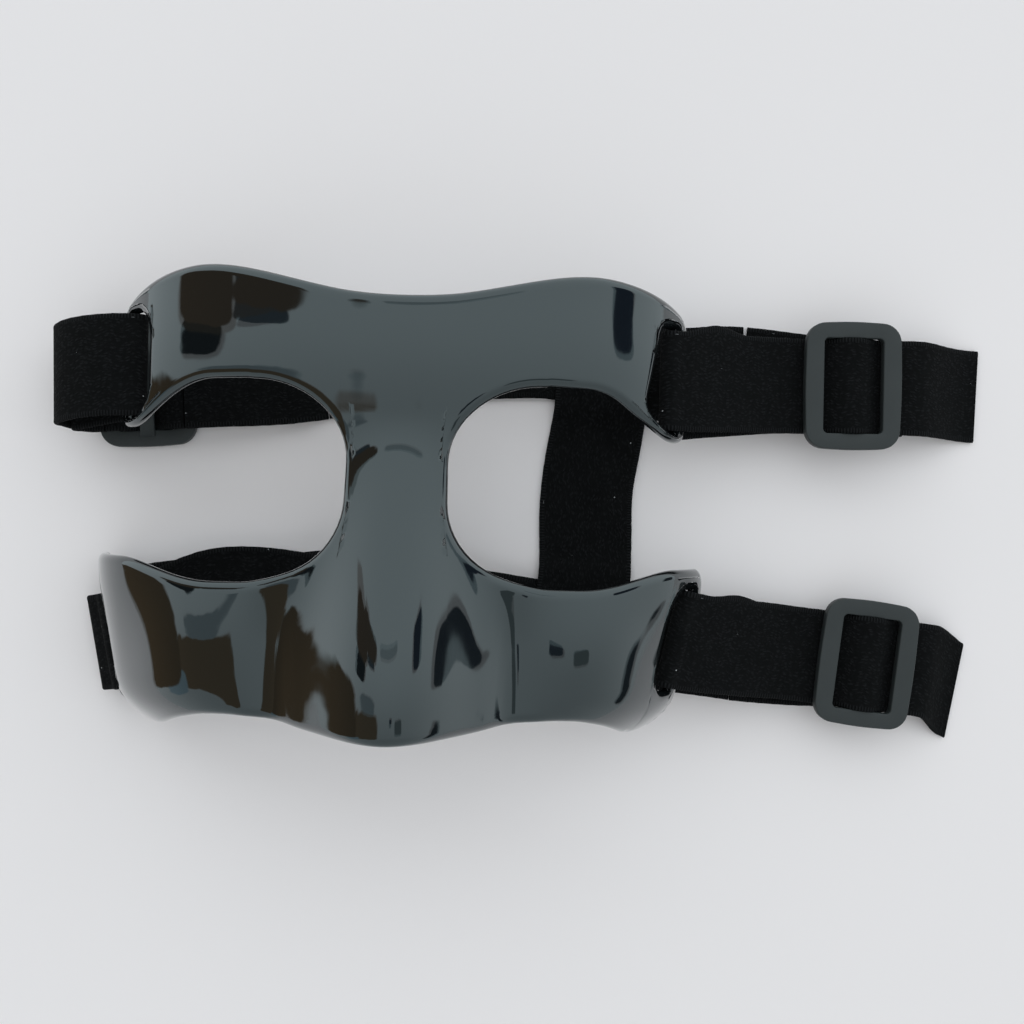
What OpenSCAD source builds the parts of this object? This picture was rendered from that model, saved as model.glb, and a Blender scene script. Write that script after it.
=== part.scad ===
// Nose guard face mask: a moulded face shell held by an elastic head harness with four tri-glide buckles

/* [Face shell] */
// Wall of the moulded shell
shell_t = 2.8; // [2.2:0.2:3.6]
// Half width at the brow
brow_half_w = 73.4; // [71:0.2:77]
// Half width at the cheeks
cheek_half_w = 78.0; // [75:0.5:82]
// Height of the brow section above its springing line
brow_depth = 44; // [40:1:48]
// Height of the cheek section above its springing line
cheek_depth = 46; // [42:1:50]
// Height of the springing line above the surface that the mask lies on
spring_z = 4.0; // [3.5:0.5:7]
// Top of the brow over the nose
notch_y = 48.4; // [46:0.2:52]
// Lower edge under the nose tip
chin_y = -48.2; // [-51:0.2:-46]
// Height of the eye openings' inner ends
eye_y = 6.8; // [5:0.2:9]
// Rise of the nose over the cheeks
nose_rise = 19.5; // [14:0.5:24]
// Half width of the nose at its base
nose_half_w = 28.5; // [26:0.5:31]

/* [Strap slots] */
// Width of a slot along the strap
slot_w = 10; // [8:0.5:11]
// Plastic left above a slot, at the least
slot_margin = 3; // [2.6:0.2:3.8]
// Plastic left in the hook under a slot, at the least
hook_w = 2.4; // [1.8:0.2:3]
// Bar that the strap goes round on the three wings that show their slots
bar_w = 6.6; // [5:0.2:8]
// Bar on the left cheek wing, which is formed down to the table
low_bar_w = 3.8; // [3:0.2:4.4]

/* [Straps] */
// Width of the elastic
strap_w = 24.6; // [22:0.2:25.4]
// Thickness of the elastic
strap_t = 1.2; // [0.9:0.1:1.4]
// Free end past the upper right buckle
tail_len = 25; // [18:1:32]
// Free end past the upper left buckle
left_tail_len = 25; // [18:1:32]
// Free end past the lower right buckle
short_tail_len = 16; // [10:1:20]
// Free end past the lower left buckle, under the nose
hidden_tail_len = 20; // [12:1:22]
// How far each end of the crown strap is sewn over
seam_len = 20; // [14:1:22]

/* [Buckles] */
// Length along the strap
buckle_l = 24.6; // [24:0.2:26]
// Width across the strap
buckle_w = 32.4; // [31.6:0.2:34]
// Thickness of the frame
buckle_t = 2.6; // [2:0.2:3.2]
// Width of the two bars that cross the strap
side_bar = 4.6; // [4:0.2:5]
// Width of the hidden middle bar
mid_bar = 3.8; // [3:0.2:4.2]
// Corner radius of the frame
buckle_r = 5; // [3:0.5:6]

/* [Foam pads] */
// Thickness of the foam
pad_t = 3.5; // [2:0.5:5]
// Foam's distance from the shell's edges
pad_inset = 4.5; // [3:0.5:8]

/* [Hidden] */
$fn = 48;

// Running gaps
slot_play = 0.4;
glue = 0.5;
ply = 0.12;
lift = 0.25;
butt = 0.3;

// Colours
shell_c = [0.06, 0.065, 0.07];
foam_c = [0.12, 0.12, 0.13];
strap_c = [0.03, 0.03, 0.035];
buckle_c = [0.16, 0.17, 0.18];
thread_c = [0.1, 0.1, 0.11];

// Side is 0 for the wearer's right, on the photograph's left, and 1 for the other
LEFT = 0;
RIGHT = 1;
BROW = 0;
CHEEK = 1;
side_sign = [-1, 1];
cheek_taper = [0.2, 0.24];
mm_per_deg = 0.85;

// Slot's inner edge and bar, in degrees round the section, by band and side
slot_in = [[56, 54.6], [76.5, 59.5]];
slot_out = [
    [for (s = [LEFT, RIGHT]) slot_in[BROW][s] + slot_w / mm_per_deg],
    [slot_in[CHEEK][LEFT] + 9, slot_in[CHEEK][RIGHT] + slot_w / mm_per_deg],
];
wing_end = [
    [for (s = [LEFT, RIGHT]) slot_out[BROW][s] + bar_w / mm_per_deg],
    [slot_out[CHEEK][LEFT] + low_bar_w / mm_per_deg, slot_out[CHEEK][RIGHT] + bar_w / mm_per_deg],
];

// Smooth steps and bumps
function clamp(t, a = 0, b = 1) = min(max(t, a), b);
function smooth(t) = let (u = clamp(t)) u * u * (3 - 2 * u);
function bell(t) = 0.5 * (1 + cos(180 * clamp(abs(t))));
function ramp(t, r) = t <= 0 ? 0 : t < 2 * r ? t * t / (4 * r) : t - r;
function mix(a, b, t) = a + (b - a) * t;
function unit(v) = v / norm(v);

// Half width, depth and relief of the shell's section at height y
function half_w(y, s) = mix(brow_half_w, cheek_half_w, smooth((22 - y) / 32))
    - cheek_taper[s] * ramp(-14 - y, 4) - 9 * pow(clamp((-45 - y) / 12), 2);
function depth(y) = mix(brow_depth, cheek_depth, smooth((22 - y) / 32));
function nose(x, y) = (1.5 + (nose_rise - 1.5) * smooth((22 - y) / 66))
    * bell(x / mix(15, nose_half_w, smooth((20 - y) / 60)));
function crease(x, y) = 1.6 * smooth((-8 - y) / 22) * bell((abs(x) - nose_half_w + 1) / 7);
function cheek(x, y) = 3 * bell((abs(x) - 47) / 20) * bell((y + 33) / 26);
function curl(y) = 5 * pow(clamp((-41 - y) / 12), 2);
function relief(x, y) = nose(x, y) - crease(x, y) + cheek(x, y) - curl(y) * smooth((abs(x) - 30) / 20);
function skin(a, y, s) = let (x = half_w(y, s) * sin(a))
    [x, y, spring_z + depth(y) * cos(a) + relief(x, y)];
function outward(a, y, s) = let (e = 0.4)
    unit(cross(skin(a + e, y, s) - skin(a - e, y, s), skin(a, y + e, s) - skin(a, y - e, s)));
function inside(a, y, s, d) = skin(a, y, s) - d * outward(a, y, s);

// Outline: eye openings, brow, cheeks and the rounded wing ends
eye_in = 9.1;
eye_mid = 27;
eye_r = 22.4;
eye_flat = 4.4;
brow_fall = [10, 7.4];
toe_rise = [5, 9];
toe_from = [74, 67];
function eye_arc(a) = sqrt(1 - pow(clamp((eye_mid - a) / (eye_mid - eye_in)), 2));
function brow_low(a) = a < eye_mid ? eye_y + eye_flat + (eye_r - eye_flat) * eye_arc(a)
    : eye_y + eye_r + 0.2 - 10.5 * smooth((a - 36) / 30);
function brow_top(a, s) = a < 40 ? notch_y + 3.85 * (1 - cos(4.5 * a))
    : notch_y + 7.7 - brow_fall[s] * pow((a - 40) / 35, 1.7);
function cheek_top(a) = a < eye_mid ? eye_y - eye_flat - (eye_r + 1 - eye_flat) * eye_arc(a)
    : eye_y - eye_r - 1 + 4.3 * smooth((a - 33) / 27);
function cheek_low(a, s) = chin_y + 1.2 * bell((a - 29) / 15) - 5.8 * smooth((a - 36) / 28)
    + toe_rise[s] * pow(clamp((a - toe_from[s]) / 16, 0, 1.2), 2);
function low(a, b, s) = b == BROW ? brow_low(a) : cheek_low(a, s);
function high(a, b, s) = b == BROW ? brow_top(a, s) : cheek_top(a);

// Slot window: as high as the strap and its play, with a flat inner end that opens in two quarter ellipses
slot_mid = [[33.8, 34], [-35, -30.2]];
slot_flat = 5;
slot_reach = strap_w / 2 + slot_play;
function slot_half(a, b, s) = sqrt(1 - pow(clamp((slot_in[b][s] + 0.6 * slot_w - a) / (0.6 * slot_w)), 2));
function slot_lo(a, b, s) = let (m = slot_mid[b][s])
    mix(m - slot_flat, max(m - slot_reach, low(a, b, s) + hook_w), slot_half(a, b, s));
function slot_hi(a, b, s) = let (m = slot_mid[b][s])
    mix(m + slot_flat, min(m + slot_reach, high(a, b, s) - slot_margin), slot_half(a, b, s));

// Grid of the shell: columns round the section, rows up it, with the openings left out
margin_rows = 2;
slot_rows = 6;
band_rows = 2 * margin_rows + slot_rows;
eye_rows = 2;
rows = 2 * band_rows + eye_rows;
eye_cols = [for (t = [18:18:90]) eye_in + (eye_mid - eye_in) * (1 - cos(t))];
centre_cols = [0, 3, 6, eye_in];
cheek_cols = 5;
function columns(b, s) = let (a = slot_in[b][s], z = slot_out[b][s], e = wing_end[b][s]) concat(
    centre_cols, eye_cols,
    [for (i = [1:cheek_cols]) mix(eye_mid, a, i / (cheek_cols + 1))],
    [a, mix(a, z, 0.06), mix(a, z, 0.22), mix(a, z, 0.5), z, mix(z, e, 0.5), e]
);
cols = len(columns(BROW, LEFT)) - 1;
eye_col = len(centre_cols) - 1;
slot_col = eye_col + len(eye_cols) + cheek_cols + 1;
bar_col = slot_col + 4;
function band_y(j, a, b, s) = let (
        l = low(a, b, s), h = high(a, b, s), p = slot_lo(a, b, s), q = slot_hi(a, b, s),
        even = mix(l, h, j / band_rows),
        cut = j <= margin_rows ? mix(l, p, j / margin_rows)
            : j <= margin_rows + slot_rows ? mix(p, q, (j - margin_rows) / slot_rows)
            : mix(q, h, (j - margin_rows - slot_rows) / margin_rows)
    ) mix(even, cut, smooth((a - slot_in[b][s] + 22) / 22));
// The upper right slot's inner end leans, and the columns beside it lean less and less
lean = [[0, 0.28], [0, 0]];
function leaning(y, a, b, s) = let (
        h = y - slot_mid[b][s], d = a - slot_in[b][s], w = slot_out[b][s] - slot_in[b][s]
    ) lean[b][s] * h * (1 - smooth((abs(h) - 6) / 8)) * (d < 0 ? smooth(1 + d / 15) : 1 - smooth(d / w));
// Wing ends are rounded at their corners
corner = 5.5;
function wing_cut(y, a, b, s) = let (
        l = low(a, b, s), h = high(a, b, s), bar = (wing_end[b][s] - slot_out[b][s]) * mm_per_deg,
        c = min(corner, 0.82 * bar), q = clamp((abs(y - (l + h) / 2) - (h - l) / 2 + c) / c)
    ) c * (1 - sqrt(1 - q * q)) / mm_per_deg;
function grid_at(c, r) = let (
        s = c < 0 ? LEFT : RIGHT, k = abs(c),
        b = r <= band_rows ? CHEEK : BROW,
        j = r <= band_rows ? r : r - band_rows - eye_rows,
        a = columns(b, s)[k],
        part = j < 0 ? 0 : k == cols ? 1 : k == cols - 1 ? 0.5 : 0,
        e = part == 0 ? a : a - part * wing_cut(band_y(j, a, b, s), a, b, s),
        y = j < 0 ? mix(high(a, CHEEK, s), low(a, BROW, s), (r - band_rows) / eye_rows) : band_y(j, e, b, s)
    ) [side_sign[s] * (e + (j < 0 ? 0 : leaning(y, a, b, s))), y, s];
function open_cell(c, r) = let (k = c < 0 ? -c - 1 : c, j = r < band_rows ? r : r - band_rows - eye_rows)
    c < -cols || c >= cols || r < 0 || r >= rows
    || (k >= eye_col && r >= band_rows && r < band_rows + eye_rows)
    || (k >= slot_col && k < bar_col && j >= margin_rows && j < margin_rows + slot_rows);

// Closed sheet between two depths of the same grid
module sheet(pts, nc, nr, gap) {
    n = nc * nr;
    function id(c, r, k) = k * n + c * nr + r;
    cells = [for (c = [0:nc - 2]) for (r = [0:nr - 2]) if (!gap[c + 1][r + 1]) [c, r]];
    faces = concat(
        [for (q = cells) each let (c = q[0], r = q[1]) [
            [id(c, r, 0), id(c, r + 1, 0), id(c + 1, r + 1, 0)],
            [id(c, r, 0), id(c + 1, r + 1, 0), id(c + 1, r, 0)],
            [id(c, r, 1), id(c + 1, r + 1, 1), id(c, r + 1, 1)],
            [id(c, r, 1), id(c + 1, r, 1), id(c + 1, r + 1, 1)],
        ]],
        [for (q = cells) each let (c = q[0], r = q[1]) concat(
            gap[c][r + 1] ? wall(id(c, r, 0), id(c, r + 1, 0), n) : [],
            gap[c + 2][r + 1] ? wall(id(c + 1, r + 1, 0), id(c + 1, r, 0), n) : [],
            gap[c + 1][r] ? wall(id(c + 1, r, 0), id(c, r, 0), n) : [],
            gap[c + 1][r + 2] ? wall(id(c, r + 1, 0), id(c + 1, r + 1, 0), n) : []
        )]
    );
    polyhedron(pts, faces, convexity = 8);
}
function wall(a, b, n) = [[a, a + n, b + n], [a, b + n, b]];

module shell() {
    gap = [for (c = [-cols - 1:cols]) [for (r = [-1:rows]) open_cell(c, r)]];
    grid = [for (c = [-cols:cols]) each [for (r = [0:rows]) grid_at(c, r)]];
    color(shell_c) sheet(
        concat(
            [for (g = grid) skin(g[0], g[1], g[2])],
            [for (g = grid) inside(g[0], g[1], g[2], shell_t)]
        ),
        2 * cols + 1, rows + 1, gap
    );
}

// Foam pad between two angles, held back from the band's edges
module foam(b, s, from, to, nc, nr) {
    gap = [for (c = [-1:nc - 1]) [for (r = [-1:nr - 1]) c < 0 || r < 0 || c >= nc - 1 || r >= nr - 1]];
    grid = [for (c = [0:nc - 1]) each [for (r = [0:nr - 1]) let (
            a = mix(from, to, c / (nc - 1)), k = abs(a),
            t = 0.75 * sqrt(1 - pow(2 * c / (nc - 1) - 1, 8)) + 0.25,
            l = max(low(k, b, s), b == BROW ? eye_y + 17 : -100) + pad_inset, h = high(k, b, s) - pad_inset
        ) [a, mix((l + h) / 2, mix(l, h, r / (nr - 1)), t)]]];
    color(foam_c) sheet(
        concat(
            [for (g = grid) inside(g[0], g[1], g[0] < 0 ? LEFT : RIGHT, shell_t + glue)],
            [for (g = grid) inside(g[0], g[1], g[0] < 0 ? LEFT : RIGHT, shell_t + glue + pad_t)]
        ),
        nc, nr, gap
    );
}
module brow_pad() foam(BROW, RIGHT, -46, 46, 19, 5);
module left_cheek_pad() foam(CHEEK, LEFT, -54, -27, 8, 6);
module right_cheek_pad() foam(CHEEK, RIGHT, 27, 54, 8, 6);

// Curves in space, and the height of a strap that lies on the table
bed = strap_t / 2;
up = [0, 0, 1];
function bezier(a, b, c, d, t) = let (u = 1 - t)
    u * u * u * a + 3 * u * u * t * b + 3 * u * t * t * c + t * t * t * d;
function span(a, b, c, d, n) = [for (i = [0:n]) bezier(a, b, c, d, i / n)];
function way(p) = [for (i = [0:len(p) - 1]) unit(p[min(i + 1, len(p) - 1)] - p[max(i - 1, 0)])];

// Strap swept along centres p with width directions w, from depth n0 to n1 along its normal
module ribbon(p, w, n0 = -strap_t / 2, n1 = strap_t / 2, width = strap_w) {
    t = way(p);
    m = len(p);
    rings = [for (i = [0:m - 1]) let (n = unit(cross(t[i], w[i])), v = w[i] * width / 2 / norm(cross(t[i], w[i]))) [
        p[i] - v + n * n0, p[i] + v + n * n0, p[i] + v + n * n1, p[i] - v + n * n1,
    ]];
    faces = concat(
        [[0, 1, 2, 3]],
        [for (i = [0:m - 2]) each [for (k = [0:3]) each let (a = 4 * i + k, b = 4 * i + (k + 1) % 4) [
            [a, a + 4, b + 4], [a, b + 4, b],
        ]]],
        [[4 * m - 1, 4 * m - 2, 4 * m - 3, 4 * m - 4]]
    );
    color(strap_c) polyhedron([for (r = rings) each r], faces, convexity = 6);
}
function across(yaw) = [-sin(yaw), cos(yaw), 0];
function along(yaw) = [cos(yaw), sin(yaw), 0];
function turned(a, b, n) = [for (i = [0:n]) unit(mix(a, b, smooth(i / n)))];

// Buckle section in its own frame: the strap runs under the side bars and over the middle bar
low_ply = -strap_t / 2 - ply - 0.1;
bar_lo = -1;
bar_hi = 0.5;
high_ply = bar_hi + 0.4 + 1.5 * strap_t + ply;
step_in = mid_bar / 2 - 0.9;
step_out = buckle_l / 2 - side_bar + 0.3;
seam_s = buckle_l / 2 - 2.3;
clear_s = buckle_l / 2 + 0.6;
pitch = strap_t + ply;
weave_s = [for (k = [-12:12]) k / 12 * seam_s];
function weave_z(u) = mix(high_ply, low_ply, smooth((abs(u) - step_in) / (step_out - step_in)));
weave_path = [for (u = weave_s) [u, 0, weave_z(u)]];

module rounded(l, w, r) {
    square([l, w - 2 * r], center = true);
    square([l - 2 * r, w], center = true);
    for (x = [-1, 1]) for (y = [-1, 1]) translate([x * (l / 2 - r), y * (w / 2 - r)]) circle(r);
}
module buckle_frame() {
    window_l = buckle_l - 2 * side_bar;
    window_w = strap_w + 0.6;
    color(buckle_c) {
        linear_extrude(buckle_t) difference() {
            rounded(buckle_l, buckle_w, buckle_r);
            rounded(window_l, window_w, 1.2);
        }
        translate([-mid_bar / 2, -window_w / 2 - 1.5, bar_lo]) cube([mid_bar, window_w + 3, bar_hi - bar_lo]);
    }
}
module buckle_weave() {
    w = [for (u = weave_s) [0, 1, 0]];
    ribbon(weave_path, w);
    ribbon(weave_path, w, -pitch - strap_t / 2, -pitch + strap_t / 2);
}

// Where each buckle lies: centre, height of the frame's underside, turn and which way it faces
right_face = 0;
left_face = 180;
crown_out = high_ply + strap_t / 2 - buckle_t;
face_down_z = lift + crown_out;
UR = [114, 35.6, 11, 0.5, right_face];
LR = [120.8, -36.2, 7.4, -6.2, right_face];
UL = [-68.6, 31.6, face_down_z, 4, left_face];
LL = [-6, -24.2, face_down_z, -5, left_face];
module at_buckle(k) {
    translate([k[0], k[1], k[4] == right_face ? k[2] : k[2] + buckle_t]) rotate([k[4], 0, k[3]]) children();
}
// Point s along the strap from a buckle's centre, on its outer (0) or inner (1) ply
function ply_z(k, i) = let (z = low_ply - i * pitch) k[4] == right_face ? k[2] + z : k[2] + buckle_t - z;
function seat(k, s, i) = [k[0], k[1], ply_z(k, i)] + s * along(k[3]);

// Wrap round the bar at a slot's outer edge
wrap_r = shell_t / 2 + 2 * ply + strap_t / 2;
function slot_point(b, s, y) = let (a = side_sign[s] * slot_out[b][s])
    (skin(a, y, s) + inside(a, y, s, shell_t)) / 2;
function slot_line(b, s) = let (y = slot_mid[b][s], h = strap_w / 2 - 3)
    [slot_point(b, s, y - h), slot_point(b, s, y + h)];
function slot_centre(b, s) = let (l = slot_line(b, s)) (l[0] + l[1]) / 2;
function slot_dir(b, s) = let (l = slot_line(b, s)) unit(l[1] - l[0]);
function slot_out_dir(b, s) = let (
        n = outward(side_sign[s] * slot_out[b][s], slot_mid[b][s], s), d = slot_dir(b, s)
    ) unit(n - d * (n * d));
function slot_up_dir(b, s) = side_sign[s] * cross(slot_out_dir(b, s), slot_dir(b, s));
function wrap_point(b, s, f) = slot_centre(b, s)
    + wrap_r * (cos(f) * slot_out_dir(b, s) + sin(f) * slot_up_dir(b, s));
function wrap_way(b, s, f) = -sin(f) * slot_out_dir(b, s) + cos(f) * slot_up_dir(b, s);
function wrap(b, s, from) = [for (i = [0:6]) wrap_point(b, s, mix(from, 180, i / 6))];

// Loop from a buckle's outer ply, through the slot and back to its inner ply
module strap_loop(k, b, s, enter, out, back) {
    d = slot_dir(b, s);
    p = concat(out, wrap(b, s, enter), back);
    no = len(out);
    nb = len(back);
    w = concat(
        turned(across(k[3]), d, no - 1),
        [for (i = [0:6]) d],
        turned(d, across(k[3]), nb - 1)
    );
    ribbon(p, w);
}
function under_bar(b, s) =
    inside(side_sign[s] * wing_end[b][s], slot_mid[b][s], s, shell_t + 3 * ply + strap_t / 2);
// The inner ply lies a little lower on the face than the outer one
ply_slip = 2.8;
function skip_first(v) = [for (i = [1:len(v) - 1]) v[i]];
function skip_last(v) = [for (i = [0:len(v) - 2]) v[i]];

module right_loop(k, b, enter) {
    s = RIGHT;
    a = seat(k, -clear_s, 0);
    z = seat(k, -clear_s, 1);
    p = wrap_point(b, s, enter);
    r = under_bar(b, s) - ply_slip * slot_dir(b, s);
    u = along(k[3]);
    strap_loop(k, b, s, enter,
        concat(
            [seat(k, -seam_s - butt, 0)],
            skip_last(span(a, a - 11 * u, p - 9 * wrap_way(b, s, enter), p, 8))
        ),
        concat(span(r, r - 4.5 * slot_up_dir(b, s), z - 14 * u, z, 9), [seat(k, -seam_s - butt, 1)])
    );
}

// The upper left loop stands in a wide arc, and its inner ply turns inside it
arc_out = 6;
arc_in = 3.4;
module upper_left_loop() {
    k = UL;
    b = BROW;
    s = LEFT;
    enter = 66;
    u = along(k[3]);
    a = seat(k, -clear_s, 0);
    z = seat(k, -clear_s, 1);
    p = wrap_point(b, s, enter);
    m = a - arc_out * u + [0, 0.4 * (p[1] - a[1]), 0.48 * (p[2] - a[2])];
    r = under_bar(b, s);
    i = z - arc_in * u + up * (arc_in + 1);
    strap_loop(k, b, s, enter,
        concat(
            [seat(k, -seam_s - butt, 0)],
            skip_last(span(a, a - 0.55 * arc_out * u, m - 5.2 * up, m, 7)),
            skip_last(span(m, m + 6.2 * up, p - 11 * wrap_way(b, s, enter), p, 9))
        ),
        concat(
            span(r, r - 3 * slot_up_dir(b, s), i + 4 * up, i, 7),
            skip_first(span(i, i - 0.55 * arc_in * up, z - 0.55 * arc_in * u, z, 6)),
            [seat(k, -seam_s - butt, 1)]
        )
    );
}

// The lower left loop runs on the table to a buckle under the nose
lower_outer = [[-30, -23.9], [-45, -24.3], [-57, -26.1], [-68.6, -28.8]];
lower_inner = [[-64.5, -29.7], [-50.8, -23.8], [-40, -22.4], [-25, -23.7]];
inner_turn = 23;
rise_from = -36;
rise_to = -19;
function run_z(x, i) =
    mix(bed + lift + i * (pitch + 0.1), ply_z(LL, i), smooth((x - rise_from) / (rise_to - rise_from)));
function run(p, i) = [for (q = p) [q[0], q[1], run_z(q[0], i)]];
module lower_left_loop() {
    k = LL;
    b = CHEEK;
    s = LEFT;
    enter = 25;
    o = slot_out_dir(b, s);
    v = unit([o[0], o[1], 0]);
    c = slot_centre(b, s);
    a = seat(k, -clear_s, 0);
    z = seat(k, -clear_s, 1);
    p = wrap_point(b, s, enter);
    q = wrap_point(b, s, 180);
    d = [c[0], c[1], run_z(c[0], 0)];
    m = [c[0], c[1], 5] + (wrap_r + 3.6) * v;
    e = run([lower_inner[0]], 1)[0];
    out = concat(
        [seat(k, -seam_s - butt, 0)],
        run(course(concat([a], [for (l = lower_outer) flat(l)], [d]), 3, -along(k[3]), v), 0),
        skip_first(span(d, d + 3.3 * v, m - 2.4 * up, m, 6)),
        skip_first(skip_last(span(m, m + 2.2 * up, p - 1.6 * wrap_way(b, s, enter), p, 4)))
    );
    back = concat(
        skip_first(span(q, q - 3.4 * slot_up_dir(b, s), e - 5 * along(inner_turn), e, 6)),
        skip_first(run(
            course(concat([for (l = lower_inner) flat(l)], [z]), 3, along(inner_turn), along(k[3])), 1
        )),
        [seat(k, -seam_s - butt, 1)]
    );
    strap_loop(k, b, s, enter, out, back);
}

// Free ends past the buckles
tails = [[left_tail_len, tail_len], [hidden_tail_len, short_tail_len]];
tail_turn = [[1, -2], [-3, -20]];
tail_cut = [[1, -2], [-3, -4]];
function tail_end(k, b, s) = [k[0], k[1], strap_t / 2] + (buckle_l / 2 + 2) * along(k[3])
    + (tails[b][s] - 2) * along(k[3] + tail_turn[b][s]);
tail_steps = 8;
function tail_path(k, b, s, flat) = let (
        c = seat(k, seam_s + flat, 0), e = tail_end(k, b, s), h = norm(e - c)
    ) concat(
        [seat(k, seam_s + butt, 0)],
        span(c, c + 0.26 * h * along(k[3]), e - 0.36 * h * along(k[3] + tail_turn[b][s]), e, tail_steps)
    );
function tail_across(k, b, s) = concat(
    [across(k[3])], turned(across(k[3]), across(k[3] + tail_cut[b][s]), tail_steps)
);
module tail(k, b, s, flat) ribbon(tail_path(k, b, s, flat), tail_across(k, b, s));

// Back ends run from the inner ply to the straps that lie on the table
dock_run = 8;
dock_turn = [6, -3];
function left_dock(k, b) = tail_end(k, b, LEFT) + (dock_run + butt) * along(k[3] + dock_turn[b]);
module left_back_end(k, b) {
    q = tail_path(k, b, LEFT, 2);
    w = tail_across(k, b, LEFT);
    t = way(q);
    m = len(q) - 1;
    v = along(k[3] + dock_turn[b]);
    over = [for (i = [0:m]) q[i] + unit(cross(t[i], w[i])) * (pitch + lift * i / m)];
    e = over[m] + v;
    d = left_dock(k, b) - butt * v;
    ribbon(
        concat(over, span(e, e + 2.6 * v, d - 2.6 * v, d, 4)),
        concat(w, [for (i = [0:4]) unit(mix(w[m], across(k[3] + dock_turn[b]), (i + 1) / 5))])
    );
}

// Places where the right-hand back ends meet the table, and their directions
UR_DOCK = [88, 39.6, -4];
LR_DOCK = [88, -35.6, -6.5];
module right_back_end(k, dock, r) {
    u = along(k[3]);
    v = along(dock[2]);
    a = seat(k, seam_s + butt, 1);
    c = a + 2.2 * u - up * r;
    e = c - up * r - 2 * v;
    d = [dock[0], dock[1], strap_t / 2] + butt * v;
    h = norm(e - d) / 2.8;
    p = concat(
        [a],
        [for (i = [0:8]) c + r * (cos(90 - 22.5 * i) * u + sin(90 - 22.5 * i) * up)],
        span(e, e - h * v, d + h * v, d, 7)
    );
    ribbon(p, concat([for (i = [0:9]) across(k[3])], turned(across(k[3]), across(dock[2]), 7)));
}

// Straps on the table follow their centre lines
function hermite(a, b, u, v, t) = (2 * t * t * t - 3 * t * t + 1) * a + (t * t * t - 2 * t * t + t) * u
    + (3 * t * t - 2 * t * t * t) * b + (t * t * t - t * t) * v;
function course(p, n, start, end) = let (
        m = len(p) - 1,
        t = [for (i = [0:m]) i == 0 ? norm(p[1] - p[0]) * start
            : i == m ? norm(p[m] - p[m - 1]) * end
            : (p[i + 1] - p[i - 1]) / 2]
    ) concat(
        [p[0]],
        [for (i = [0:m - 1]) each [for (k = [1:n]) hermite(p[i], p[i + 1], t[i], t[i + 1], k / n)]]
    );
function flat_across(t) = unit([-t[1], t[0], 0]);
module lying(p) {
    t = way(p);
    ribbon(p, [for (v = t) flat_across(v)]);
}
upper_route = [[-4, 39.4], [14, 42.2], [38, 43.8], [62, 42]];
lower_route = [[50, -31], [68, -33.2]];
function flat(p) = [p[0], p[1], bed];
module back_strap(k, b, route, dock) lying(course(
    concat([left_dock(k, b)], [for (p = route) flat(p)], [flat(dock)]), 4,
    along(k[3] + dock_turn[b]), along(dock[2])
));

// Crown strap joins the two, sewn on top of them
crown_low = [46.2, -30.3];
crown_high = [51.2, 43.4];
crown_way = unit(crown_high - crown_low);
crown_dir = [crown_way[0], crown_way[1], 0];
crown_len = norm(crown_high - crown_low);
crown_bow = 1.4;
module crown_strap() {
    a = strap_w / 2 - seam_len;
    b = strap_w / 2 + 2.5;
    c = b + 6;
    top = bed + pitch;
    s = [a, b - 1, b, mix(b, c, 0.25), mix(b, c, 0.5), mix(b, c, 0.75), c, c + 2];
    z = [top, top, top, mix(top, bed, 0.16), mix(top, bed, 0.5), mix(top, bed, 0.84), bed, bed];
    n = len(s) - 1;
    base = [crown_low[0], crown_low[1], 0];
    way_s = concat(
        s, [for (i = [1:7]) mix(s[n], crown_len - s[n], i / 8)], [for (i = [n:-1:0]) crown_len - s[i]]
    );
    way_z = concat(z, [for (i = [1:7]) bed], [for (i = [n:-1:0]) z[i]]);
    lying([for (i = [0:len(way_s) - 1]) let (
            t = clamp((way_s[i] - b) / (crown_len - 2 * b)),
            bow = crown_bow * pow(sin(180 * t), 2)
        ) base + way_s[i] * crown_dir + way_z[i] * up + bow * flat_across(crown_dir)]);
}
module stitch(p, turn) {
    l = seam_len - 6;
    w = strap_w - 7;
    thread = 0.8;
    color(thread_c) translate([p[0], p[1], 2 * strap_t + ply]) rotate(turn) linear_extrude(0.3) {
        difference() {
            square([w, l], center = true);
            square([w - 2 * thread, l - 2 * thread], center = true);
        }
        for (i = [-1, 1]) rotate(i * atan2(l - thread, w - thread))
            square([norm([w - thread, l - thread]), thread], center = true);
    }
}
crown_turn = atan2(crown_way[1], crown_way[0]) - 90;
seam_mid = strap_w / 2 - seam_len / 2;
module upper_crown_stitch() stitch(crown_high - seam_mid * crown_way, crown_turn);
module lower_crown_stitch() stitch(crown_low + seam_mid * crown_way, crown_turn);

module upper_back_strap() back_strap(UL, BROW, upper_route, UR_DOCK);
module lower_back_strap() back_strap(LL, CHEEK, lower_route, LR_DOCK);

module upper_left_buckle() at_buckle(UL) buckle_frame();
module upper_right_buckle() at_buckle(UR) buckle_frame();
module lower_left_buckle() at_buckle(LL) buckle_frame();
module lower_right_buckle() at_buckle(LR) buckle_frame();
module upper_left_weave() at_buckle(UL) buckle_weave();
module upper_right_weave() at_buckle(UR) buckle_weave();
module lower_left_weave() at_buckle(LL) buckle_weave();
module lower_right_weave() at_buckle(LR) buckle_weave();
module upper_right_loop() right_loop(UR, BROW, 40);
module lower_right_loop() right_loop(LR, CHEEK, 40);
module upper_left_tail() tail(UL, BROW, LEFT, 2);
module upper_right_tail() tail(UR, BROW, RIGHT, 7);
module lower_left_tail() tail(LL, CHEEK, LEFT, 2);
module lower_right_tail() tail(LR, CHEEK, RIGHT, 6);
module upper_left_back_end() left_back_end(UL, BROW);
module upper_right_back_end() right_back_end(UR, UR_DOCK, 2.5);
module lower_left_back_end() left_back_end(LL, CHEEK);
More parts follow.
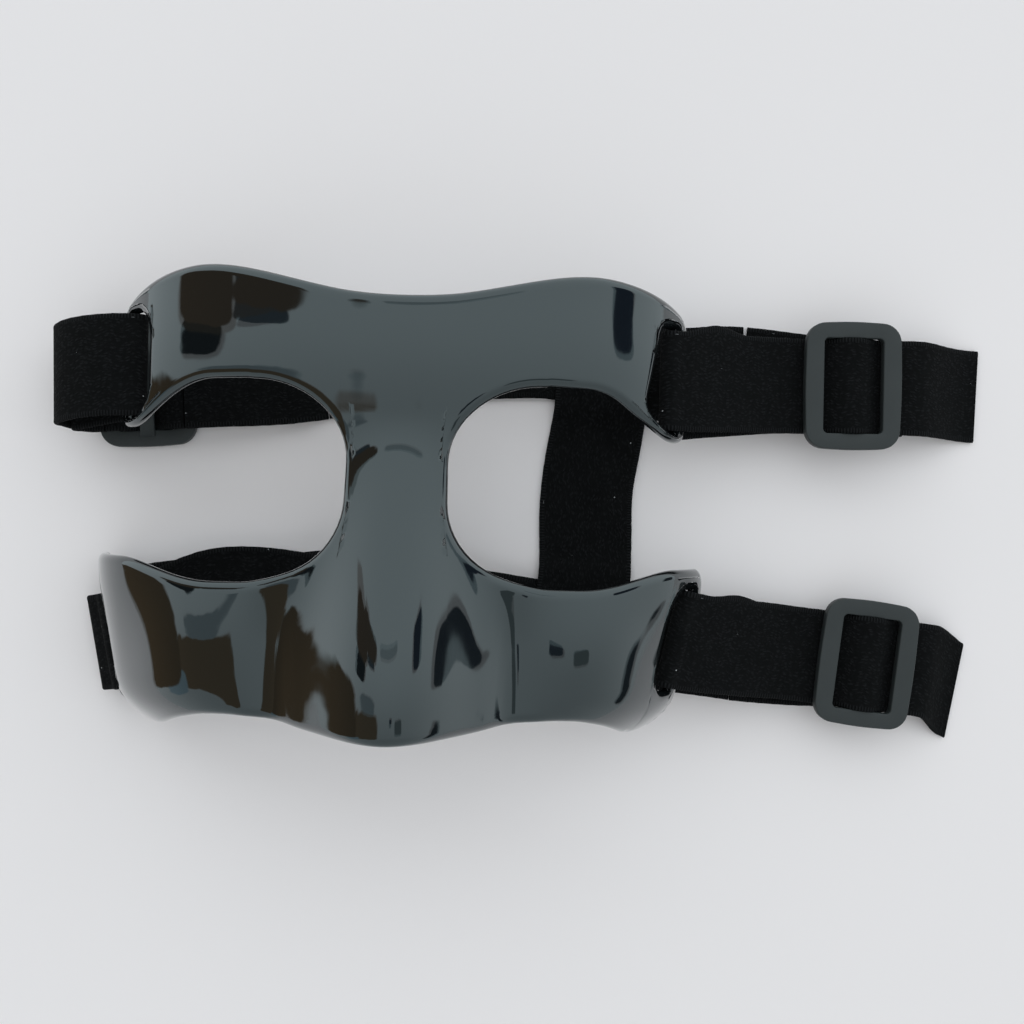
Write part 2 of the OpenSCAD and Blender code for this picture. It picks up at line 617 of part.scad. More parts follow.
module lower_right_back_end() right_back_end(LR, LR_DOCK, 1.6);

// The model's origin is the middle of its footprint on the table
origin = [31.606, -0.292, 0];
module place() translate(-origin) children();

place() shell();
place() brow_pad();
place() left_cheek_pad();
place() right_cheek_pad();
place() upper_left_buckle();
place() upper_left_weave();
place() upper_left_loop();
place() upper_left_tail();
place() upper_left_back_end();
place() upper_right_buckle();
place() upper_right_weave();
place() upper_right_loop();
place() upper_right_tail();
place() upper_right_back_end();
place() lower_left_buckle();
place() lower_left_weave();
place() lower_left_loop();
place() lower_left_tail();
place() lower_left_back_end();
place() lower_right_buckle();
place() lower_right_weave();
place() lower_right_loop();
place() lower_right_tail();
place() lower_right_back_end();
place() upper_back_strap();
place() lower_back_strap();
place() crown_strap();
place() upper_crown_stitch();
place() lower_crown_stitch();
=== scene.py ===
"""Nose guard face mask: a glossy moulded shell on an elastic harness with four slide buckles."""

import logging
import math
from dataclasses import dataclass, field
from enum import Enum, IntEnum
from typing import ClassVar

import bpy
import numpy as np
from mathutils import Matrix


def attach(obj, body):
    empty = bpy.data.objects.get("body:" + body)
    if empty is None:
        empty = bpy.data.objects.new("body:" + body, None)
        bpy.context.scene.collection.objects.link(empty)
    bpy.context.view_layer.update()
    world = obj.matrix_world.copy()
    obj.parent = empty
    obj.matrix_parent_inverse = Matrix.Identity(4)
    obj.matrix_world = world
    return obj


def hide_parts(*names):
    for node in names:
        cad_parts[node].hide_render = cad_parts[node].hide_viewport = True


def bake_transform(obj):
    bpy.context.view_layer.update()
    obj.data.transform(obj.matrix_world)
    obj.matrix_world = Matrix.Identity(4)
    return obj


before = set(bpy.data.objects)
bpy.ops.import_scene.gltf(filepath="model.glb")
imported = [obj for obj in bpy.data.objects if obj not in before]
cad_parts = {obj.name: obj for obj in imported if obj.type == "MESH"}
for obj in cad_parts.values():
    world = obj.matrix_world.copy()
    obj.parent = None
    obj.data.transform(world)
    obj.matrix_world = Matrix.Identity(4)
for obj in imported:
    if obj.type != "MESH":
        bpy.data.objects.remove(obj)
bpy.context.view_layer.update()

LOG = logging.getLogger("mask")
Array = np.ndarray

MM = 0.001
ORIGIN = np.array([31.606, -0.292, 0.0])
UP = np.array([0.0, 0.0, 1.0])


class Side(IntEnum):
    """Side of the mask as the photograph shows it."""

    LEFT = 0
    RIGHT = 1

    @property
    def sign(self) -> float:
        """Sign of x on this side."""
        return 1.0 if self is Side.RIGHT else -1.0


class Band(IntEnum):
    """The two bands of the shell."""

    BROW = 0
    CHEEK = 1


class Facing(Enum):
    """Which way a buckle lies."""

    UP = "up"
    DOWN = "down"


def smooth(t: Array | float) -> Array:
    """Ease from 0 to 1: 3t^2 - 2t^3 on t held to 0..1."""
    u = np.clip(t, 0.0, 1.0)
    return u * u * (3.0 - 2.0 * u)


def bell(t: Array | float) -> Array:
    """Cosine bump: 1 at 0, 0 from |t| = 1 on."""
    return 0.5 * (1.0 + np.cos(np.pi * np.clip(np.abs(t), 0.0, 1.0)))


def ramp(t: Array, r: float) -> Array:
    """Line of slope 1 from 0 on, with its foot rounded over 2r."""
    return np.where(t <= 0, 0.0, np.where(t < 2 * r, t * t / (4 * r), t - r))


def step(t: Array, size: float, start: float, run: float) -> Array:
    """Eased rise from 0 at a start to a size at the end of a run."""
    return size * smooth((t - start) / run)


def unit(v: Array) -> Array:
    """Vectors scaled to length 1 along the last axis."""
    return v / np.linalg.norm(v, axis=-1, keepdims=True)


def along(yaw: float) -> Array:
    """Direction in plan at a turn from +x, in degrees."""
    return np.array([math.cos(math.radians(yaw)), math.sin(math.radians(yaw)), 0.0])


def across(yaw: float) -> Array:
    """Direction in plan to the left of along."""
    return np.array([-math.sin(math.radians(yaw)), math.cos(math.radians(yaw)), 0.0])


def span(a: Array, b: Array, c: Array, d: Array, n: int) -> Array:
    """Cubic Bezier curve through a and d, with handles b and c, as n + 1 points.

    Args:
        a: First point.
        b: First handle.
        c: Second handle.
        d: Last point.
        n: Number of steps.

    Returns:
        The points.
    """
    t = np.linspace(0.0, 1.0, n + 1)[:, None]
    u = 1.0 - t
    return u**3 * a + 3 * u * u * t * b + 3 * u * t * t * c + t**3 * d


def hermite(u: Array, p: Array, q: Array, m: Array, n: Array) -> Array:
    """Cubic curve from p to q, with slopes m and n at its ends."""
    return ((2 * u**3 - 3 * u**2 + 1) * p + (u**3 - 2 * u**2 + u) * m
            + (3 * u**2 - 2 * u**3) * q + (u**3 - u**2) * n)


def turned(a: Array, b: Array, n: int) -> Array:
    """Directions that ease from a to b in n steps."""
    t = smooth(np.linspace(0.0, 1.0, n + 1))[:, None]
    return unit(a + (b - a) * t)


def put_mesh(name: str, verts: Array, quads: Array, uv: Array | None = None) -> bpy.types.Object:
    """Makes an object in the row frame from points in millimetres in the mask's frame.

    Args:
        name: Name of the piece.
        verts: Points, n by 3.
        quads: Corner numbers of the faces, m by 4, anticlockwise from outside.
        uv: Corner coordinates, m by 4 by 2.

    Returns:
        The object, smooth shaded.
    """
    mesh = bpy.data.meshes.new(name)
    mesh.vertices.add(len(verts))
    mesh.vertices.foreach_set("co", ((verts - ORIGIN) * MM).astype(np.float32).ravel())
    mesh.loops.add(quads.size)
    mesh.loops.foreach_set("vertex_index", quads.astype(np.int32).ravel())
    mesh.polygons.add(len(quads))
    mesh.polygons.foreach_set("loop_start", np.arange(0, quads.size, 4, dtype=np.int32))
    mesh.polygons.foreach_set("use_smooth", np.ones(len(quads), dtype=bool))
    mesh.update(calc_edges=True)
    if uv is not None:
        layer = mesh.uv_layers.new(name="UVMap")
        layer.data.foreach_set("uv", uv.astype(np.float32).ravel())
    mesh.validate()
    obj = bpy.data.objects.new(name, mesh)
    bpy.context.scene.collection.objects.link(obj)
    return obj


def grid_quads(rows: int, cols: int, wrap: bool = False) -> Array:
    """Faces of a grid whose points are numbered row by row.

    Args:
        rows: Number of rows of points.
        cols: Points in a row.
        wrap: Whether each row is a closed ring.

    Returns:
        Corner numbers, m by 4.
    """
    i = np.arange(rows - 1)[:, None]
    j = np.arange(cols if wrap else cols - 1)[None, :]
    k = (j + 1) % cols
    return np.stack([i * cols + j, i * cols + k, (i + 1) * cols + k, (i + 1) * cols + j], -1).reshape(-1, 4)


class Sig:
    """A shader socket that takes part in arithmetic."""

    def __init__(self, paint: "Paint", socket: bpy.types.NodeSocket) -> None:
        """Keeps the socket with its material's builder."""
        self.paint = paint
        self.socket = socket

    def _op(self, kind: str, *values: "Sig | float") -> "Sig":
        """Adds one Math node."""
        return self.paint.node("Math", dict(enumerate(values)), operation=kind)

    def __add__(self, o: "Sig | float") -> "Sig":
        """self + o."""
        return self._op("ADD", self, o)

    __radd__ = __add__

    def __mul__(self, o: "Sig | float") -> "Sig":
        """self * o."""
        return self._op("MULTIPLY", self, o)

    def __sub__(self, o: "Sig | float") -> "Sig":
        """self - o."""
        return self._op("SUBTRACT", self, o)

    def __rsub__(self, o: "Sig | float") -> "Sig":
        """o - self."""
        return self._op("SUBTRACT", o, self)

    def __truediv__(self, o: "Sig | float") -> "Sig":
        """self / o."""
        return self._op("DIVIDE", self, o)

    def __pow__(self, o: float) -> "Sig":
        """self to the power o."""
        return self._op("POWER", self, o)

    def __lt__(self, o: "Sig | float") -> "Sig":
        """1 where self is below o."""
        return self._op("LESS_THAN", self, o)

    def __gt__(self, o: "Sig | float") -> "Sig":
        """1 where self is above o."""
        return self._op("GREATER_THAN", self, o)

    def sin(self) -> "Sig":
        """Sine of self."""
        return self._op("SINE", self)

    def absolute(self) -> "Sig":
        """Size of self."""
        return self._op("ABSOLUTE", self)

    def ease(self, lo: float, hi: float) -> "Sig":
        """0 at lo, 1 at hi, eased between."""
        values = {"Value": self, "From Min": lo, "From Max": hi}
        return self.paint.node("MapRange", values, interpolation_type="SMOOTHSTEP")


Colour = tuple[float, float, float]


class Paint:
    """Builds one material, or the world's, node by node."""

    def __init__(self, name: str, tree: bpy.types.NodeTree | None = None) -> None:
        """Starts an empty material, or takes a given tree.

        Args:
            name: Name of the material.
            tree: Node tree to fill instead.
        """
        self.material = None
        if tree is None:
            self.material = bpy.data.materials.new(name)
            self.material.use_nodes = True
            tree = self.material.node_tree
        self.tree = tree
        tree.nodes.clear()

    def node(self, kind: str, inputs: dict | None = None, out: int | str = 0, **settings: str) -> Sig:
        """Adds a node.

        Args:
            kind: Node type, without its prefix.
            inputs: Values or signals by socket name or number.
            out: Output to return.
            **settings: Attributes, set before the sockets.

        Returns:
            The chosen output.
        """
        made = self.tree.nodes.new(f"ShaderNode{kind}")
        for key, value in settings.items():
            setattr(made, key, value)
        for key, value in (inputs or {}).items():
            if isinstance(value, Sig):
                self.tree.links.new(value.socket, made.inputs[key])
            elif isinstance(value, tuple) and len(value) == 3 and made.inputs[key].type == "RGBA":
                made.inputs[key].default_value = (*value, 1.0)
            else:
                made.inputs[key].default_value = value
        return Sig(self, made.outputs[out])

    def here(self) -> Sig:
        """Coordinates in the object's own space."""
        return self.node("TexCoord", out="Object")

    def uv(self) -> Sig:
        """Coordinates of the UV map."""
        return self.node("UVMap", uv_map="UVMap")

    def axes(self, at: Sig) -> tuple[Sig, ...]:
        """The three parts of some coordinates."""
        parts = self.node("SeparateXYZ", {"Vector": at}).socket.node
        return tuple(Sig(self, socket) for socket in parts.outputs)

    def mix(self, a: "Sig | Colour", b: "Sig | Colour", factor: "Sig | float") -> Sig:
        """Colour between a and b."""
        return self.node("Mix", {0: factor, 6: a, 7: b}, out=2, data_type="RGBA")

    def scaled(self, source: Sig, scale: tuple[float, float, float]) -> Sig:
        """Coordinates times a scale on each axis."""
        return self.node("Mapping", {"Vector": source, "Scale": scale})

    def noise(self, at: Sig, scale: float, detail: float = 2.0, rough: float = 0.5) -> Sig:
        """Noise value at some coordinates."""
        return self.node("TexNoise", {"Vector": at, "Scale": scale, "Detail": detail, "Roughness": rough})

    def cells(self, at: Sig, scale: float, random: float = 1.0) -> Sig:
        """Distance to the nearest of scattered points."""
        return self.node("TexVoronoi", {"Vector": at, "Scale": scale, "Randomness": random})

    def bump(self, height: Sig, distance: float, strength: float = 1.0) -> Sig:
        """Normal bent by a height in metres times distance."""
        return self.node("Bump", {"Height": height, "Distance": distance, "Strength": strength})

    def surface(self, **values: "Sig | float | Colour") -> bpy.types.Material:
        """Ends the material in a Principled shader.

        Args:
            **values: Socket values, with _ for each space in a socket's name.

        Returns:
            The material.
        """
        shader = self.node("BsdfPrincipled", {k.replace("_", " "): v for k, v in values.items()})
        self.end_in(shader, "OutputMaterial")
        return self.material

    def end_in(self, shader: Sig, kind: str) -> None:
        """Links a shader to an output of a kind."""
        made = self.tree.nodes.new(f"ShaderNode{kind}")
        self.tree.links.new(shader.socket, made.inputs["Surface"])


@dataclass(frozen=True)
class GlossBlack:
    """High-gloss black plastic with faint handling marks and a few dust specks."""

    base: Colour = (0.0045, 0.0055, 0.006)
    dust: Colour = (0.35, 0.36, 0.36)
    glint: Colour = (0.74, 0.95, 1.0)
    smear_scale: float = 34.0
    smear_span: tuple[float, float] = (0.45, 0.75)
    fine_scale: float = 900.0
    wave_scale: float = 26.0
    wave_height: float = 0.0011
    dust_scale: float = 210.0
    dust_size: float = 0.035
    patch_scale: float = 120.0
    patch_level: float = 0.66
    rough: float = 0.035
    coat: float = 0.9
    coat_rough: float = 0.02
    ior: float = 1.52

    def material(self) -> bpy.types.Material:
        """Makes the material.

        Returns:
            The material.
        """
        p = Paint("gloss black plastic")
        at = p.here()
        smear = p.noise(at, self.smear_scale, 4.0, 0.62).ease(*self.smear_span)
        fine = p.noise(at, self.fine_scale)
        speck = p.cells(at, self.dust_scale) < self.dust_size
        few = p.noise(at, self.patch_scale, 1.0) > self.patch_level
        dust = speck * few * 0.5
        wave = p.noise(at, self.wave_scale, 1.0)
        return p.surface(
            Base_Color=p.mix(self.base, self.dust, dust * 0.8),
            Roughness=self.rough + smear * 0.05 + fine * 0.01 + dust * 0.4,
            Coat_Weight=self.coat - dust,
            Coat_Roughness=self.coat_rough,
            IOR=self.ior,
            Specular_Tint=self.glint,
            Normal=p.bump(wave, self.wave_height))


@dataclass(frozen=True)
class SatinPlastic:
    """Satin dark grey plastic of the buckles."""

    base: Colour = (0.020, 0.024, 0.0245)
    worn: Colour = (0.034, 0.039, 0.040)
    grain_scale: float = 2600.0
    grain_height: float = 0.00003
    cloud_scale: float = 150.0
    scuff_scale: float = 1100.0
    scuff_span: tuple[float, float] = (0.6, 0.85)
    scuff_stretch: tuple[float, float, float] = (1.0, 0.12, 1.0)
    rough: float = 0.5
    ior: float = 1.46

    def material(self) -> bpy.types.Material:
        """Makes the material.

        Returns:
            The material.
        """
        p = Paint("satin grey plastic")
        at = p.here()
        grain = p.noise(at, self.grain_scale, 3.0, 0.6)
        cloud = p.noise(at, self.cloud_scale, 3.0)
        scuff = p.noise(p.scaled(at, self.scuff_stretch), self.scuff_scale, 3.0, 0.7).ease(*self.scuff_span)
        return p.surface(
            Base_Color=p.mix(self.base, self.worn, cloud * 0.5 + scuff * 0.3),
            Roughness=self.rough + grain * 0.1 - scuff * 0.06,
            IOR=self.ior,
            Normal=p.bump(grain, self.grain_height, 0.5))


@dataclass(frozen=True)
class KnitElastic:
    """Black knitted elastic: short slanting stitches in courses, with a looped selvedge on both sides."""

    base: Colour = (0.0010, 0.0011, 0.0012)
    lit: Colour = (0.0125, 0.0130, 0.0140)
    lint: Colour = (0.55, 0.55, 0.56)
    half: float = 12.3
    stitch: float = 1.25
    course: float = 0.62
    slant_len: float = 3.1
    slant_size: float = 0.34
    scatter: float = 0.72
    yarn_span: tuple[float, float] = (0.1, 0.62)
    selvedge: tuple[float, float] = (1.5, 1.0)
    bead: float = 0.72
    fleck: tuple[float, float] = (2.1, 0.035)
    fibre: tuple[float, float] = (1.7, 0.02)
    fibre_stretch: tuple[float, float, float] = (1.0, 0.16, 1.0)
    rough: float = 0.88
    shine: float = 0.1
    height: float = 0.00022

    def material(self) -> bpy.types.Material:
        """Makes the material. The UV map runs across the strap and along it, in centimetres.

        Returns:
            The material.
        """
        p = Paint("black knit elastic")
        uv = p.uv()
        across_cm, along_cm, _ = p.axes(uv)
        u, v = across_cm * 10.0, along_cm * 10.0
        wander = p.noise(uv, 9.0) - 0.5
        slant = (v * (math.pi / self.slant_len)).sin() * self.slant_size
        stitch = p.node("CombineXYZ", {
            0: (u + slant + wander * 0.5) / self.course, 1: v / self.stitch + wander * 0.3})
        yarn = 1.0 - p.cells(stitch, 1.0, self.scatter).ease(*self.yarn_span)
        selvedge = u.absolute().ease(*(self.half - margin for margin in self.selvedge))
        beads = ((v * (2 * math.pi / self.bead)).sin() * 0.5 + 0.5) * selvedge
        height = yarn * (1.0 - selvedge) + beads * 1.1
        patch = p.noise(uv, 1.3)
        # Painted highlight: raised yarn and selvedge beads are painted lighter, and the gaps between stitches
        # darker as painted shade; the patch noise adds random tone.
        tone = (yarn * 0.55 + 0.08) * (1.0 - selvedge) + beads * 0.8 + patch * 0.25 - 0.06
        fleck = (p.cells(uv, self.fleck[0]) < self.fleck[1]) * (p.noise(uv, 0.9, 0.0) > 0.5)
        fibre = p.cells(p.scaled(uv, self.fibre_stretch), self.fibre[0]) < self.fibre[1]
        spots = fleck + fibre * 0.4
        return p.surface(
            Base_Color=p.mix(p.mix(self.base, self.lit, tone), self.lint, spots * 0.7),
            Roughness=self.rough,
            Specular_IOR_Level=self.shine,
            Normal=p.bump(height, self.height, 0.9))


@dataclass(frozen=True)
class SkinFoam:
    """Closed-cell foam with a dull skin and fine pores."""

    base: Colour = (0.014, 0.014, 0.0145)
    pore_shade: Colour = (0.006, 0.006, 0.0062)
    pore_scale: float = 1500.0
    pore_span: tuple[float, float] = (0.1, 0.5)
    cloud_scale: float = 90.0
    height: float = 0.00012
    rough: float = 0.9
    shine: float = 0.25

    def material(self) -> bpy.types.Material:
        """Makes the material.

        Returns:
            The material.
        """
        p = Paint("closed cell foam")
        at = p.here()
        pores = p.cells(at, self.pore_scale).ease(*self.pore_span)
        cloud = p.noise(at, self.cloud_scale, 3.0)
        return p.surface(
            # Painted shade: the pores are painted darker than the skin; the cloud noise adds random tone.
            Base_Color=p.mix(self.pore_shade, self.base, pores * 0.7 + cloud * 0.3),
            Roughness=self.rough,
            Specular_IOR_Level=self.shine,
            Normal=p.bump(pores + cloud * 0.5, self.height, 0.7))


@dataclass(frozen=True)
class SpunThread:
    """Twisted black sewing thread."""

    base: Colour = (0.009, 0.009, 0.0095)
    lit: Colour = (0.04, 0.04, 0.042)
    round_turn: float = 6.283
    twist: float = 90.0
    rough: float = 0.7
    height: float = 0.00005

    def material(self) -> bpy.types.Material:
        """Makes the material. The UV map runs round the thread and along it.

        Returns:
            The material.
        """
        p = Paint("sewing thread")
        around, length, _ = p.axes(p.uv())
        # Painted highlight: the thread is painted lighter along the ridges of its twist, and darker in the
        # grooves between them as painted shade.
        twist = (around * self.round_turn + length * self.twist).sin() * 0.5 + 0.5
        return p.surface(
            Base_Color=p.mix(self.base, self.lit, twist),
            Roughness=self.rough,
            Normal=p.bump(twist, self.height, 0.8))


@dataclass
class ShellForm:
    """Section, relief and outline of the shell, in millimetres."""

    wall: float = 2.8
    brow_half_w: float = 73.4
    cheek_half_w: float = 78.0
    brow_depth: float = 44.0
    cheek_depth: float = 46.0
    spring_z: float = 4.0
    notch_y: float = 48.4
    chin_y: float = -48.2
    eye_y: float = 6.8
    nose_rise: float = 19.5
    nose_half_w: float = 28.5
    brow_bulge: float = 1.5
    slot_w: float = 10.0
    slot_margin: float = 3.0
    hook_w: float = 2.4
    slot_reach: float = 12.7
    bar_w: float = 6.6
    low_bar_w: float = 3.8
    mm_per_deg: float = 0.85
    eye_in: float = 9.1
    eye_mid: float = 27.0
    eye_r: float = 22.4
    eye_flat: float = 4.4
    slot_flat: float = 5.0
    corner: float = 5.5
    cheek_taper: tuple[float, float] = (0.2, 0.24)
    slot_in: tuple = ((56.0, 54.6), (76.5, 59.5))
    slot_mid: tuple = ((33.8, 34.0), (-35.0, -30.2))
    lean: tuple = ((0.0, 0.28), (0.0, 0.0))
    low_slot_deg: float = 9.0
    blend: tuple[float, float] = (22.0, 32.0)
    taper_from: tuple[float, float] = (14.0, 4.0)
    chin_run: float = 12.0
    chin_tuck: tuple[float, float] = (9.0, 45.0)
    chin_curl: tuple[float, float] = (5.0, 41.0)
    curl_side: tuple[float, float, float] = (1.0, 30.0, 20.0)
    bridge_half_w: float = 15.0
    bridge_rise: float = 1.5
    crease: tuple[float, float, float] = (1.6, 8.0, 22.0)
    crease_half_w: float = 7.0
    cheek_rise: float = 3.0
    cheek_spot: tuple[float, float] = (47.0, 33.0)
    cheek_size: tuple[float, float] = (20.0, 26.0)
    brow_spot: tuple[float, float] = (35.0, 25.0)
    brow_drop: tuple[float, float, float] = (10.5, 36.0, 30.0)
    cheek_fall: tuple[float, float, float] = (5.8, 36.0, 28.0)
    cheek_lift: tuple[float, float, float] = (4.3, 33.0, 27.0)
    wing_lift: tuple = ((5.0, 74.0), (9.0, 67.0))
    brow_top_deg: float = 40.0
    brow_wave: tuple[float, float] = (3.85, 4.5)
    brow_fall: tuple[float, float] = (10.0, 7.4)

    def slot_out(self, b: int, s: int) -> float:
        """Angle of a slot's outer edge.

        Args:
            b: The band.
            s: The side.

        Returns:
            The angle, in degrees.
        """
        if b == Band.CHEEK and s == Side.LEFT:
            return self.slot_in[b][s] + self.low_slot_deg
        return self.slot_in[b][s] + self.slot_w / self.mm_per_deg

    def bar(self, b: int, s: int) -> float:
        """Width of the bar outside a slot."""
        return self.low_bar_w if b == Band.CHEEK and s == Side.LEFT else self.bar_w

    def wing_end(self, b: int, s: int) -> float:
        """Angle of a wing's end."""
        return self.slot_out(b, s) + self.bar(b, s) / self.mm_per_deg

    def cheekness(self, y: Array) -> Array:
        """0 at the brow's heights and 1 at the cheeks'."""
        start, run = self.blend
        return smooth((start - y) / run)

    def chin_bend(self, y: Array, rule: tuple[float, float]) -> Array:
        """A size that sets in as a square below a depth, over the chin's run."""
        size, start = rule
        return size * np.clip((-start - y) / self.chin_run, 0, 1) ** 2

    def half_w(self, y: Array, s: Array) -> Array:
        """Half width of the section at height y: brow to cheek, tapered to the chin edge.

        Args:
            y: Heights up the mask.
            s: The side.

        Returns:
            Half widths.
        """
        taper = np.where(np.asarray(s) == Side.LEFT, *self.cheek_taper)
        wide = self.brow_half_w + (self.cheek_half_w - self.brow_half_w) * self.cheekness(y)
        start, foot = self.taper_from
        return wide - taper * ramp(-start - y, foot) - self.chin_bend(y, self.chin_tuck)

    def depth(self, y: Array) -> Array:
        """Height of the section over its springing line."""
        return self.brow_depth + (self.cheek_depth - self.brow_depth) * self.cheekness(y)

    def relief(self, x: Array, y: Array) -> Array:
        """What stands off the plain section: the nose, the creases beside it, the cheeks and the curled edge.

        Args:
            x: Places across the mask.
            y: Heights up the mask.

        Returns:
            Heights over the plain section.
        """
        off = np.abs(x)
        width = self.bridge_half_w + (self.nose_half_w - self.bridge_half_w) * smooth((20 - y) / 60)
        rise = self.bridge_rise + (self.nose_rise - self.bridge_rise) * smooth((22 - y) / 66)
        crease = step(-y, *self.crease) * bell((off - self.nose_half_w + 1) / self.crease_half_w)
        cheek_x, cheek_y = ((off - self.cheek_spot[0]) / self.cheek_size[0],
                            (y + self.cheek_spot[1]) / self.cheek_size[1])
        cheek = self.cheek_rise * bell(cheek_x) * bell(cheek_y)
        brow = self.brow_bulge * bell((y - self.brow_spot[0]) / self.brow_spot[1])
        curl = self.chin_bend(y, self.chin_curl) * step(off, *self.curl_side)
        return rise * bell(x / width) - crease + cheek + brow - curl

    def skin(self, a: Array, y: Array, s: Array) -> Array:
        """Points of the outer face.

        Args:
            a: Angles from the middle, in degrees, with their sign.
            y: Heights up the mask.
            s: The side.

        Returns:
            The points.
        """
        a, y = np.broadcast_arrays(np.asarray(a, float), np.asarray(y, float))
        x = self.half_w(y, s) * np.sin(np.radians(a))
        z = self.spring_z + self.depth(y) * np.cos(np.radians(a)) + self.relief(x, y)
        return np.stack([x, y, z], -1)

    def outward(self, a: Array, y: Array, s: Array) -> Array:
        """Unit normal of the outer face, from differences of 0.4 each way.

        Args:
            a: Angles from the middle, in degrees, with their sign.
            y: Heights up the mask.
            s: The side.

        Returns:
            Unit vectors.
        """
        e = 0.4
        return unit(np.cross(self.skin(a + e, y, s) - self.skin(a - e, y, s),
                             self.skin(a, y + e, s) - self.skin(a, y - e, s)))

    def inside(self, a: Array, y: Array, s: Array, d: float) -> Array:
        """Point at depth d under the outer face."""
        return self.skin(a, y, s) - d * self.outward(a, y, s)

    def eye_arc(self, a: Array) -> Array:
        """Quarter ellipse of the eye openings' inner ends."""
        t = np.clip((self.eye_mid - a) / (self.eye_mid - self.eye_in), 0, 1)
        return np.sqrt(1 - t * t)

    def low(self, a: Array, b: int, s: int) -> Array:
        """Lower edge of a band.

        Args:
            a: Angles from the middle.
            b: The band.
            s: The side.

        Returns:
            Heights of the edge.
        """
        if b == Band.BROW:
            arc = self.eye_y + self.eye_flat + (self.eye_r - self.eye_flat) * self.eye_arc(a)
            return np.where(a < self.eye_mid, arc, self.eye_y + self.eye_r + 0.2 - step(a, *self.brow_drop))
        lift, flare = self.wing_lift[s]
        waist = self.chin_y + 1.2 * bell((a - 29) / 15) - step(a, *self.cheek_fall)
        return waist + lift * np.clip((a - flare) / 16, 0, 1.2) ** 2

    def high(self, a: Array, b: int, s: int) -> Array:
        """Upper edge of a band.

        Args:
            a: Angles from the middle.
            b: The band.
            s: The side.

        Returns:
            Heights of the edge.
        """
        if b == Band.BROW:
            size, rate = self.brow_wave
            rise = self.notch_y + size * (1 - np.cos(np.radians(rate * a)))
            past = np.clip((a - self.brow_top_deg) / 35, 0, 9) ** 1.7
            return np.where(a < self.brow_top_deg, rise, self.notch_y + 2 * size - self.brow_fall[s] * past)
        arc = self.eye_y - self.eye_flat - (self.eye_r + 1 - self.eye_flat) * self.eye_arc(a)
        return np.where(a < self.eye_mid, arc, self.eye_y - self.eye_r - 1 + step(a, *self.cheek_lift))

    def leaning(self, y: Array, a: Array, b: int, s: int) -> Array:
        """How far the grid's points lean at a slot: most at its inner end, and nothing at the band's edges.

        Args:
            y: Heights.
            a: Angles from the middle.
            b: The band.
            s: The side.

        Returns:
            Changes of angle.
        """
        h, d = y - self.slot_mid[b][s], a - self.slot_in[b][s]
        wide = self.slot_out(b, s) - self.slot_in[b][s]
        near = np.where(d < 0, smooth(1 + d / 15), 1 - smooth(d / wide))
        return self.lean[b][s] * h * (1 - smooth((np.abs(h) - 6) / 8)) * near

    def slot_point(self, b: int, s: int, y: float) -> Array:
        """Middle of the wall at a slot's outer edge."""
        a = Side(s).sign * self.slot_out(b, s)
        return (self.skin(a, y, s) + self.inside(a, y, s, self.wall)) / 2


